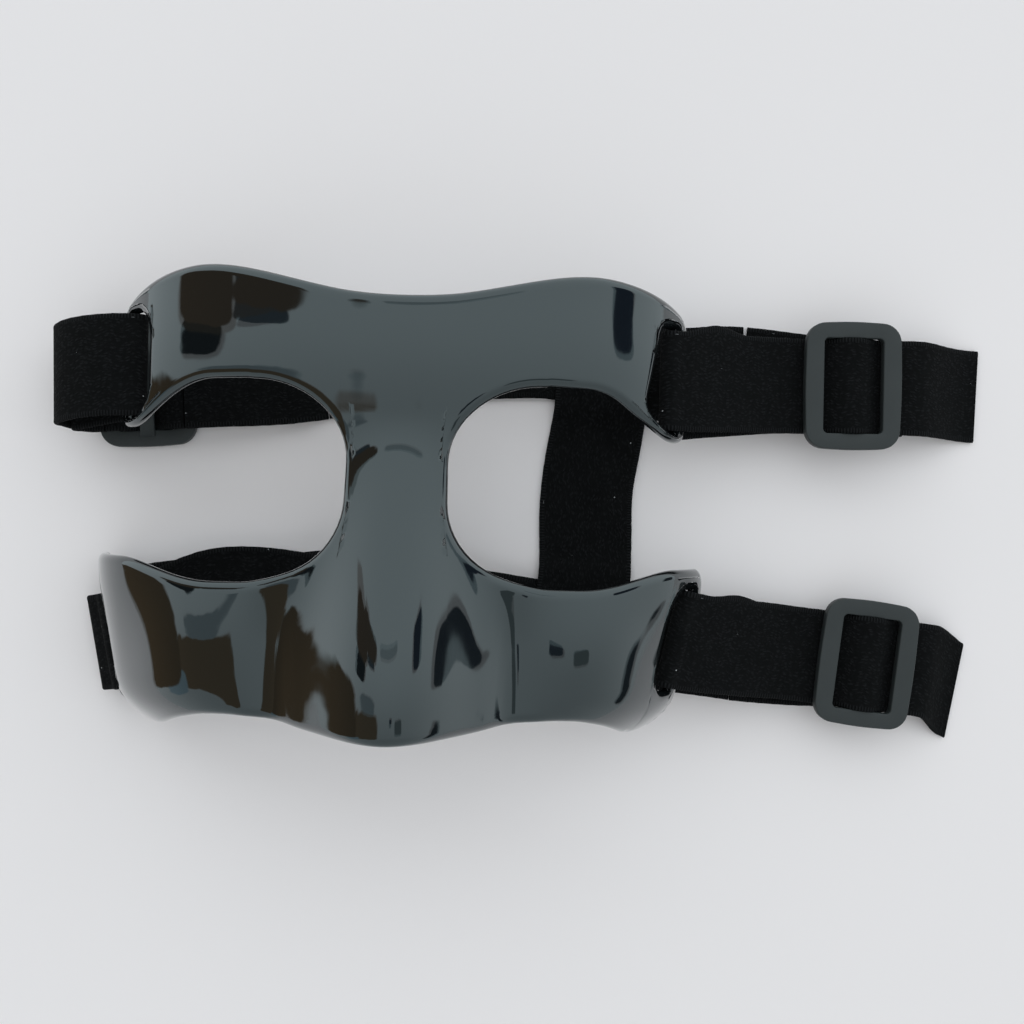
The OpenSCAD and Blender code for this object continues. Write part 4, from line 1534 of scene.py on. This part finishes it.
    def crown_strap(self) -> Route:
        """Crown strap: sewn over the back straps at its ends, on the table and slightly bowed between.

        Returns:
            Its points and width directions.
        """
        g = self.gear
        base, way, length = self.crown_axes()
        a, b = g.strap_w / 2 - self.seam_len, g.strap_w / 2 + 2.5
        c, top = b + 6, g.bed + g.pitch
        s = np.array([a, b - 1, b, *(b + (c - b) * np.array([0.25, 0.5, 0.75])), c, c + 2])
        z = np.array([top, top, top, *(top + (g.bed - top) * np.array([0.16, 0.5, 0.84])), g.bed, g.bed])
        mid = s[-1] + (length - 2 * s[-1]) * np.arange(1, 8) / 8
        ss = np.concatenate([s, mid, length - s[::-1]])
        zz = np.concatenate([z, np.full(7, g.bed), z[::-1]])
        t = np.clip((ss - b) / (length - 2 * b), 0, 1)
        bow = self.crown_bow * np.sin(np.pi * t)[:, None] ** 2 * np.array([way[1], -way[0], 0])
        return self.lying(base + ss[:, None] * way + zz[:, None] * UP - bow)

    def weave(self, corner: str, i: int) -> Route:
        """A ply through a buckle: under the side bars and over the middle bar.

        Args:
            corner: The buckle's corner.
            i: 0 for the outer ply, 1 for the inner one.

        Returns:
            Its points and width directions.
        """
        k, g = self.gear.seats[corner], self.gear
        u = np.arange(-12, 13) / 12 * g.seam_s
        z = g.high_ply + (g.low_ply - g.high_ply) * smooth((np.abs(u) - g.step_in) / (g.step_out - g.step_in))
        t = unit(np.stack([np.gradient(u), np.gradient(z)], -1))
        u, z = u + i * g.pitch * t[:, 1], z - i * g.pitch * t[:, 0]
        height = k.z + z if k.facing is Facing.UP else k.z + g.buckle_t - z
        p = np.array([k.x, k.y, 0.0]) + u[:, None] * along(k.yaw) + height[:, None] * UP
        return p, np.tile(across(k.yaw), (25, 1))


@dataclass
class Ribbon:
    """A length of strap: a thin rounded section with a ribbed selvedge, carried along a route."""

    name: str
    route: Array
    widths: Array
    wide: float = 24.6
    thick: float = 1.14
    step: float = 0.7
    flat: int = 26
    turn: int = 4
    phase: float = 0.0
    ruffle: tuple[float, float, float] = (0.0, 1.0, 0.0)

    def resampled(self) -> tuple[Array, Array, Array]:
        """Even points of a cubic curve through the route.

        Each stretch is the Hermite curve between two points, with slopes from their neighbours by length.

        Returns:
            Points, width directions and lengths along the route.
        """
        p, w = self.route, self.widths
        gap = np.linalg.norm(np.diff(p, axis=0), axis=1)
        s = np.concatenate([[0.0], np.cumsum(gap)])
        slope = np.gradient(p, s, axis=0, edge_order=1)
        t = np.linspace(0, s[-1], max(int(s[-1] / self.step), 6) + 1)
        i = np.clip(np.searchsorted(s, t, side="right") - 1, 0, len(gap) - 1)
        h = gap[i][:, None]
        u = ((t - s[i]) / gap[i])[:, None]
        point = hermite(u, p[i], p[i + 1], h * slope[i], h * slope[i + 1])
        return point, unit(w[i] * (1 - u) + w[i + 1] * u), t

    def section(self) -> tuple[Array, Array]:
        """Outline of the section, in millimetres, with its selvedge ribs.

        Returns:
            Places across the strap, and heights.
        """
        half, r = self.wide / 2, self.thick / 2
        v = np.linspace(-1, 1, self.flat) * (half - r)
        edge = half - np.abs(v)
        rib = 0.05 * bell((edge - 0.8) / 0.7) - 0.07 * bell((edge - 1.9) / 0.5)
        arc = np.linspace(90, -90, self.turn + 2)[1:-1]
        end_v = (half - r) + r * np.cos(np.radians(arc))
        end_h = r * np.sin(np.radians(arc))
        across_v = np.concatenate([v, end_v, v[::-1], -end_v[::-1]])
        height = np.concatenate([r + rib, end_h, -(r + rib)[::-1], end_h[::-1]])
        return across_v, height

    def build(self) -> bpy.types.Object:
        """Makes the strap: ring points are route + across * width direction + height * normal.

        Returns:
            The strap's object.
        """
        point, wide, length = self.resampled()
        way = unit(np.gradient(point, axis=0))
        cross = np.cross(way, wide)
        normal = unit(cross)
        wide = wide / np.maximum(np.linalg.norm(cross, axis=1, keepdims=True), 0.9)
        v, h = self.section()
        n, m = len(point), len(v)
        sway = 0.05 * np.sin(length * 0.31 + self.phase) + 0.02 * np.sin(length * 1.7 + 2 * self.phase)
        place = v / (self.wide / 2)
        edge = np.clip(np.abs(place), 0, 1) ** 8 * np.sign(v)
        at, half, size = self.ruffle
        wave = size * bell((length - at) / half)
        shift = sway[:, None] * edge + wave[:, None] * np.clip(place, 0, 1) ** 2
        ring = point[:, None] + (v + shift)[..., None] * wide[:, None] + h[:, None] * normal[:, None]
        quads = grid_quads(n, m, wrap=True)
        f, t = self.flat, self.turn
        top = np.concatenate([np.arange(f), f + np.arange(t // 2)])
        low = np.concatenate([2 * f + t - 1 - np.arange(f), f + t - 1 - np.arange(t // 2)])
        first = np.stack([top[:-1], top[1:], low[1:], low[:-1]], -1)
        back = f + t + f + np.arange(t)
        first = np.concatenate([first, [[back[t - 1], top[0], low[0], back[0]]]])
        caps = np.concatenate([first, first[:, ::-1] + (n - 1) * m])
        faces = np.concatenate([quads, caps])[:, ::-1]
        uv = np.stack(np.broadcast_arrays(v / 10, (length / 10)[:, None]), -1).reshape(-1, 2)
        return put_mesh(self.name, ring.reshape(-1, 3), faces, uv[faces])


@dataclass
class Buckle:
    """A slide buckle: a frame with rounded edges and a hidden middle bar."""

    gear: Harness
    seat: Seat
    name: str
    fillet: float = 0.34
    bow: float = 0.25
    arc: int = 9
    straight: int = 8
    window_r: float = 1.2
    beam_steps: int = 24
    beam_over: float = 1.6
    crown: float = 0.04

    def outline(self, length: float, width: float, r: float, bow: float) -> Array:
        """Rounded rectangle: four quarter circles joined by sides that bow out a little.

        Args:
            length: Length along the strap.
            width: Width across the strap.
            r: Radius of the corners.
            bow: How far each side bows out.

        Returns:
            Points round the outline.
        """
        turn = np.linspace(0, np.pi / 2, self.arc)
        hx, hy = length / 2 - r, width / 2 - r
        centres = ((hx, hy), (-hx, hy), (-hx, -hy), (hx, -hy))
        parts = []
        for i, (cx, cy) in enumerate(centres):
            a = turn + i * np.pi / 2
            corner = np.stack([cx + r * np.cos(a), cy + r * np.sin(a)], -1)
            nx, ny = centres[(i + 1) % 4]
            b = (i + 1) * np.pi / 2
            end = np.array([nx + r * math.cos(b), ny + r * math.sin(b)])
            t = np.linspace(0, 1, self.straight + 2)[1:-1, None]
            push = np.array([math.cos(b), math.sin(b)]) * bow * np.sin(np.pi * t)
            parts += [corner, corner[-1] + (end - corner[-1]) * t + push]
        return np.concatenate(parts)

    def section(self) -> Array:
        """Section of the frame, rounded at its four corners.

        Returns:
            Rows of a share from the window to the outside, an inset and a height.
        """
        f, t = self.fillet, self.gear.buckle_t
        a = np.linspace(0, np.pi / 2, 5)
        quarter = np.stack([f * (1 - np.sin(a)), f * (1 - np.cos(a))], -1)
        rows = []
        for end, high in ((0, 1), (1, 1), (1, 0), (0, 0)):
            run = quarter if (end, high) in ((1, 1), (0, 0)) else quarter[::-1]
            rows += [(end, q[0] if end == 0 else -q[0], t - q[1] if high else q[1]) for q in run]
        rows.insert(len(quarter), (0.5, 0.0, t + self.crown))
        return np.array(rows)

    def place(self, p: Array) -> Array:
        """Puts points of the buckle's own frame where it lies.

        Args:
            p: Points in the buckle's own frame.

        Returns:
            Points in the mask's frame.
        """
        g, k = self.gear, self.seat
        if k.facing is Facing.DOWN:
            p = p * [1, -1, -1] + [0, 0, g.buckle_t]
        return np.array([k.x, k.y, k.z]) + p[:, :1] * along(k.yaw) + p[:, 1:2] * across(k.yaw) + p[:, 2:] * UP

    def build(self) -> bpy.types.Object:
        """Makes the frame by carrying its section round the window, and the bar as a rounded beam.

        Returns:
            The buckle's object.
        """
        g = self.gear
        inner = self.outline(g.buckle_l - 2 * g.side_bar, g.strap_w - 0.1, self.window_r, 0.0)
        outer = self.outline(g.buckle_l, g.buckle_w, g.buckle_r, self.bow)
        sec = self.section()
        n, m = len(inner), len(sec)
        gap = (outer - inner)[:, None]
        flat = inner[:, None] + gap * sec[:, :1] + unit(gap) * sec[:, 1:2]
        ring = np.concatenate([flat, np.broadcast_to(sec[:, 2:], (n, m, 1))], -1)
        quads = grid_quads(n + 1, m, wrap=True)[:, [0, 3, 2, 1]] % (n * m)
        beam = self.beam()
        beam_quads = grid_quads(*beam.shape[:2], wrap=True)[:, ::-1]
        verts = np.concatenate([ring.reshape(-1, 3), beam.reshape(-1, 3)])
        return put_mesh(self.name, self.place(verts), np.concatenate([quads, beam_quads + n * m]))

    def beam(self) -> Array:
        """Middle bar: rings of a rounded section along its length, closed to a point at both ends.

        Returns:
            Points, rings by points by 3.
        """
        g, n = self.gear, self.beam_steps
        a = np.linspace(0, 2 * np.pi, n + 1)[:-1]
        cos, sin = np.cos(a), np.sin(a)
        mid = (g.bar_hi + g.bar_lo) / 2
        sx = g.mid_bar / 2 * np.sign(cos) * np.abs(cos) ** 0.5
        sz = (g.bar_hi - g.bar_lo) / 2 * np.sign(sin) * np.abs(sin) ** 0.5 + mid
        half = g.strap_w / 2 + self.beam_over
        y = np.array([-half, -half, -half / 2, 0, half / 2, half, half])[:, None]
        scale = np.array([0.0, 1, 1, 1, 1, 1, 0.0])[:, None]
        return np.stack(np.broadcast_arrays(sx * scale, y, mid + (sz - mid) * scale), -1)


@dataclass
class BoxStitch:
    """Box stitch with a cross: a thread carried in short raised stitches along a square and its diagonals."""

    routes: Routes
    name: str
    at_top: bool
    stitch: float = 2.3
    thread: float = 0.24
    steps: int = 900
    sides: int = 8
    rise: float = 0.22
    sink: float = 0.1
    margins: tuple[float, float] = (7.8, 6.8)
    wave: float = 0.6
    turn: float = 6.283

    def build(self) -> bpy.types.Object:
        """Makes the stitches as a tube whose height rises and falls with each stitch.

        Returns:
            The stitches' object.
        """
        r, g = self.routes, self.routes.gear
        base, way, length = r.crown_axes()
        mid = g.strap_w / 2 - r.seam_len / 2
        centre = base + way * (length - mid if self.at_top else mid)
        side = np.array([way[1], -way[0], 0.0])
        w, h = (g.strap_w - self.margins[0]) / 2, (r.seam_len - self.margins[1]) / 2
        turns = np.array([
            (-w, -h), (w, -h), (w, h), (-w, h), (-w, -h), (w, h), (w, h - 0.01), (-w, h), (w, -h)])
        gap = np.linalg.norm(np.diff(turns, axis=0), axis=1)
        s = np.concatenate([[0], np.cumsum(gap)])
        t = np.linspace(0, s[-1], self.steps)
        x, y = np.interp(t, s, turns[:, 0]), np.interp(t, s, turns[:, 1])
        wave = np.abs(np.sin(np.pi * t / self.stitch)) ** self.wave
        z = 2 * g.strap_t + g.ply - self.sink + self.rise * wave
        p = centre + x[:, None] * side + y[:, None] * way + z[:, None] * UP
        tangent = unit(np.gradient(p, axis=0) + 1e-9)
        b = unit(np.cross(tangent, UP))
        c = np.cross(b, tangent)
        a = np.linspace(0, 2 * np.pi, self.sides + 1)[:-1]
        cos, sin = np.cos(a)[None, :, None], np.sin(a)[None, :, None]
        ring = p[:, None] + self.thread * (cos * b[:, None] + sin * c[:, None])
        ring[0], ring[-1] = p[0], p[-1]
        quads = grid_quads(*ring.shape[:2], wrap=True)
        uv = np.stack(np.broadcast_arrays(a / self.turn, t[:, None] / 10), -1).reshape(-1, 2)
        return put_mesh(self.name, ring.reshape(-1, 3), quads, uv[quads])


@dataclass(frozen=True)
class Flag:
    """A soft dark panel of the sky: its middle and half sizes as directions, and its colour."""

    middle: tuple[float, float, float]
    half: tuple[float, float, float]
    tone: Colour


@dataclass
class Studio:
    """Pale floor, plain soft light and the camera over the table."""

    height: float = 300.0
    tilt: float = 2.0
    turn: float = -1.6
    shift_x: float = -27.6
    focal: float = 1128.0
    frame_px: float = 1024.0
    floor: Colour = (0.935, 0.865, 0.865)
    floor_half: float = 230.0
    sky: Colour = (0.91, 1.0, 1.03)
    dim: float = 0.70
    bright: float = 1.24
    dusk: tuple[float, float] = (-0.6, 0.5)
    ragged: float = 1.3
    flag_edge: tuple[float, float] = (0.7, 1.1)
    backdrop: Colour = (0.78, 0.79, 0.80)
    floor_z: float = -0.02
    flags: tuple[Flag, ...] = (
        Flag((-0.68, -0.27, 0.60), (0.36, 0.20, 0.55), (0.24, 0.17, 0.10)),
        Flag((-0.70, -0.02, 0.62), (0.22, 0.08, 0.35), (0.42, 0.50, 0.54)),
        Flag((-0.94, -0.44, 0.14), (0.12, 0.12, 0.20), (0.38, 0.52, 0.60)),
        Flag((-0.97, -0.17, 0.00), (0.12, 0.24, 0.28), (0.16, 0.11, 0.06)),
        Flag((-0.87, 0.19, 0.38), (0.12, 0.07, 0.16), (0.015, 0.02, 0.025)),
        Flag((-0.68, 0.30, 0.70), (0.14, 0.03, 0.14), (0.10, 0.13, 0.16)),
        Flag((-0.88, 0.33, 0.40), (0.12, 0.085, 0.22), (0.16, 0.11, 0.07)),
        Flag((-0.66, 0.38, 0.62), (0.22, 0.065, 0.30), (0.16, 0.11, 0.07)),
        Flag((0.05, 0.42, 0.90), (0.40, 0.04, 1.00), (0.62, 0.72, 0.76)),
        Flag((0.30, -0.14, 0.95), (0.06, 0.035, 1.00), (0.06, 0.08, 0.11)),
        Flag((0.60, -0.19, 0.78), (0.12, 0.07, 0.20), (0.24, 0.29, 0.30)),
        Flag((0.90, 0.28, 0.34), (0.09, 0.11, 0.09), (0.03, 0.045, 0.08)),
        Flag((0.99, 0.10, -0.03), (0.12, 0.12, 0.07), (0.03, 0.04, 0.055)),
        Flag((0.95, -0.38, -0.06), (0.15, 0.20, 0.05), (0.03, 0.04, 0.05)))

    def camera(self) -> None:
        """Sets the camera over the table, tilted towards the mask's left."""
        t, q = math.radians(self.tilt), math.radians(-self.turn)
        spin = np.array([[math.cos(q), -math.sin(q), 0], [math.sin(q), math.cos(q), 0], [0, 0, 1.0]])
        back = unit(np.array([-math.sin(t), 0.0, 1.0]))
        right = unit(np.array([1.0, 0, 0]) - back * back[0])
        up = np.cross(back, right)
        place = spin @ (back * self.height - np.array([self.shift_x, 0, 0])) - ORIGIN
        data = bpy.data.cameras.new("camera")
        data.sensor_width = 36.0
        data.lens = self.focal / self.frame_px * data.sensor_width
        data.clip_start, data.clip_end = 0.01, 20.0
        cam = bpy.data.objects.new("camera", data)
        bpy.context.scene.collection.objects.link(cam)
        matrix = np.eye(4)
        matrix[:3, 0], matrix[:3, 1], matrix[:3, 2] = spin @ right, spin @ up, spin @ back
        matrix[:3, 3] = place * MM
        cam.matrix_world = Matrix(matrix.tolist())
        bpy.context.scene.camera = cam

    def floor_plane(self) -> None:
        """Lays a wide plain floor."""
        size = self.floor_half
        v = np.array([(-size, -size, 0), (size, -size, 0), (size, size, 0), (-size, size, 0)], float) + ORIGIN
        v[:, 2] = self.floor_z
        obj = put_mesh("floor", v, np.array([[0, 1, 2, 3]]))
        p = Paint("pale floor")
        obj.data.materials.append(p.surface(Base_Color=self.floor, Roughness=0.9, Specular_IOR_Level=0.1))

    def light(self) -> None:
        """Lights the scene with a soft sky: brighter towards the brow, with a few soft dark flags in it."""
        world = bpy.data.worlds.new("sky")
        bpy.context.scene.world = world
        world.use_nodes = True
        p = Paint("sky", world.node_tree)
        way = p.node("TexCoord", out="Generated")
        x, y, z = p.axes(way)
        ragged = (p.noise(way, 9.0) - 0.5) * self.ragged
        low, high = (tuple(level * c for c in self.sky) for level in (self.dim, self.bright))
        colour = p.mix(low, high, y.ease(*self.dusk))
        for flag in self.flags:
            reach = ragged
            for axis, middle, half in zip((x, y, z), flag.middle, flag.half):
                reach = reach + ((axis - middle) / half) ** 4.0
            colour = p.mix(colour, flag.tone, 1.0 - reach.ease(*self.flag_edge))
        seen = p.node("LightPath", out="Is Camera Ray")
        colour = p.mix(colour, self.backdrop, seen)
        p.end_in(p.node("Background", {"Color": colour, "Strength": 1.0}), "OutputWorld")

    def build(self) -> None:
        """Sets up the stage."""
        scene = bpy.context.scene
        scene.view_settings.view_transform = "Standard"
        self.camera()
        self.floor_plane()
        self.light()


CORNERS = ("upper_left", "upper_right", "lower_left", "lower_right")


@dataclass
class Mask:
    """The whole mask: every piece, dressed, and tied to its body unless it is a strap by a buckle."""

    form: ShellForm = field(default_factory=ShellForm)
    still: ClassVar[dict[str, float]] = {"upper_right": -41.0, "lower_right": -43.0, "lower_left": -62.0}
    adjusters: ClassVar[dict[str, str]] = {corner: f"{corner}_adjuster" for corner in CORNERS}
    seam_play: ClassVar[float] = 0.3
    arc_rises: ClassVar[tuple[float, float]] = (7.5, 0.5)
    fold_still: ClassVar[float] = -26.0
    end_still: ClassVar[dict[str, float]] = {
        "upper_left": 46.0, "upper_right": 46.0, "lower_left": 41.0, "lower_right": 46.0}
    flat: ClassVar[tuple[float, float, float]] = (0.0, 1.0, 0.0)
    ruffles: ClassVar[dict[str, tuple[float, float, float]]] = {
        "upper_right_elastic_loop": (29.0, 11.0, 2.0), "lower_right_elastic_loop": (30.0, 9.0, 1.2)}
    docks: ClassVar[dict[str, tuple]] = {
        "upper_right": ((88, 39.6, -4), 2.5), "lower_right": ((88, -35.6, -6.5), 1.6)}
    back_routes: ClassVar[dict[str, tuple]] = {
        "upper": ((-4, 39.4), (14, 42.2), (38, 43.2), (62, 38.5)), "lower": ((50, -31), (68, -33.2))}
    pads: ClassVar[tuple] = (
        ("brow_foam", Band.BROW, -46, 46, "brow_pad"),
        ("left_cheek_foam", Band.CHEEK, -54, -27, "left_cheek_pad"),
        ("right_cheek_foam", Band.CHEEK, 27, 54, "right_cheek_pad"))

    def __post_init__(self) -> None:
        """Makes the finishes."""
        self.gear = Harness(self.form)
        self.routes = Routes(self.gear)
        self.finish = {"shell": GlossBlack().material(), "buckle": SatinPlastic().material(),
                       "elastic": KnitElastic().material(), "foam": SkinFoam().material(),
                       "thread": SpunThread().material()}

    def dress(self, obj: bpy.types.Object, slot: str, body: str, *nodes: str) -> bpy.types.Object:
        """Gives a piece its finish from a slot, ties it to its body unless it is a strap by a buckle, and
        hides the nodes that it stands for.

        Args:
            obj: The piece.
            slot: Material slot.
            body: Body that it rides on, or a buckle's corner, for a strap that is left untied with its
                transform baked.
            *nodes: Nodes that it replaces.

        Returns:
            The piece.
        """
        obj.data.materials.append(self.finish[slot])
        if nodes:
            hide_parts(*nodes)
        if body in self.adjusters:
            start, end = self.reach_of(obj.name, body)
            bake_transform(obj)
        else:
            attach(obj, body)
        LOG.info("%s: %d faces, on %s", obj.name, len(obj.data.polygons), body)
        return obj

    def reach_of(self, name: str, corner: str) -> tuple[tuple[float, ...], tuple[float, ...]]:
        """Where a strap by a buckle stops following the mask, and from where it follows the buckle.

        Args:
            name: The strap's name.
            corner: The buckle's corner.

        Returns:
            The two points, in the frame.
        """
        g, k = self.gear, self.gear.seats[corner]
        butt = g.seam_s + g.butt + self.seam_play
        if name == "upper_left_elastic_loop":
            start, end = (g.seat(k, -butt, 1) + rise * UP for rise in self.arc_rises)
        elif name.endswith("loop"):
            start, end = g.seat(k, self.still[corner], 0), g.seat(k, -butt, 0)
        elif name.endswith("return") and k.facing is Facing.UP:
            start, end = g.seat(k, self.fold_still, 1), g.seat(k, butt - 1, 1)
        else:
            start, end = g.seat(k, self.end_still[corner], 0), g.seat(k, butt, 0)
        return tuple((start - ORIGIN) * MM), tuple((end - ORIGIN) * MM)

    def strap(self, name: str, route: Route, body: str, *nodes: str) -> bpy.types.Object:
        """Makes one length of elastic along a route.

        Args:
            name: Name of the piece.
            route: Its points and width directions.
            body: Body that it rides on, or a buckle's corner, for a strap that is left untied with its
                transform baked.
            *nodes: Nodes that it replaces.

        Returns:
            The piece.
        """
        phase = float(sum(map(ord, name)) % 7)
        ribbon = Ribbon(name, *route, phase=phase, ruffle=self.ruffles.get(name, self.flat))
        return self.dress(ribbon.build(), "elastic", body, *nodes)

    def straps(self) -> None:
        """Makes every length of elastic."""
        r, docks = self.routes, self.docks
        loops = {"upper_left": r.upper_left_loop(), "upper_right": r.right_loop("upper_right", Band.BROW),
                 "lower_left": r.lower_left_loop(), "lower_right": r.right_loop("lower_right", Band.CHEEK)}
        for c in CORNERS:
            self.strap(f"{c}_elastic_loop", loops[c], c, f"{c}_loop")
            self.strap(f"{c}_free_end", r.tail(c), c, f"{c}_tail")
            back = r.right_back_end(c, *docks[c]) if c in docks else r.left_back_end(c)
            self.strap(f"{c}_return", back, c, f"{c}_back_end")
            self.strap(f"{c}_weave_outer", r.weave(c, 0), self.adjusters[c], f"{c}_weave")
            self.strap(f"{c}_weave_inner", r.weave(c, 1), self.adjusters[c])
        for level, route in self.back_routes.items():
            back = r.back_strap(f"{level}_left", route, docks[f"{level}_right"][0])
            self.strap(f"{level}_back_elastic", back, "mask", f"{level}_back_strap")
        self.strap("crown_elastic", r.crown_strap(), "mask", "crown_strap")

    def build(self) -> None:
        """Makes every piece."""
        self.dress(Shell(self.form).build(), "shell", "mask", "shell")
        for name, band, a, b, node in self.pads:
            pad = FoamPad(self.form, name, band, a, b).build()
            self.dress(pad, "foam", "mask", node)
        for c in CORNERS:
            frame_obj = Buckle(self.gear, self.gear.seats[c], f"{c}_slide_buckle").build()
            self.dress(frame_obj, "buckle", self.adjusters[c], f"{c}_buckle")
        self.straps()
        for name, top in (("upper_crown_thread", True), ("lower_crown_thread", False)):
            stitch = BoxStitch(self.routes, name, top).build()
            self.dress(stitch, "thread", "mask", name.replace("thread", "stitch"))


def main() -> None:
    """Builds the mask and its stage; each piece's face count is logged as it is made."""
    Studio().build()
    Mask().build()


if __name__ == "__main__":
    logging.basicConfig(level=logging.INFO)
    main()
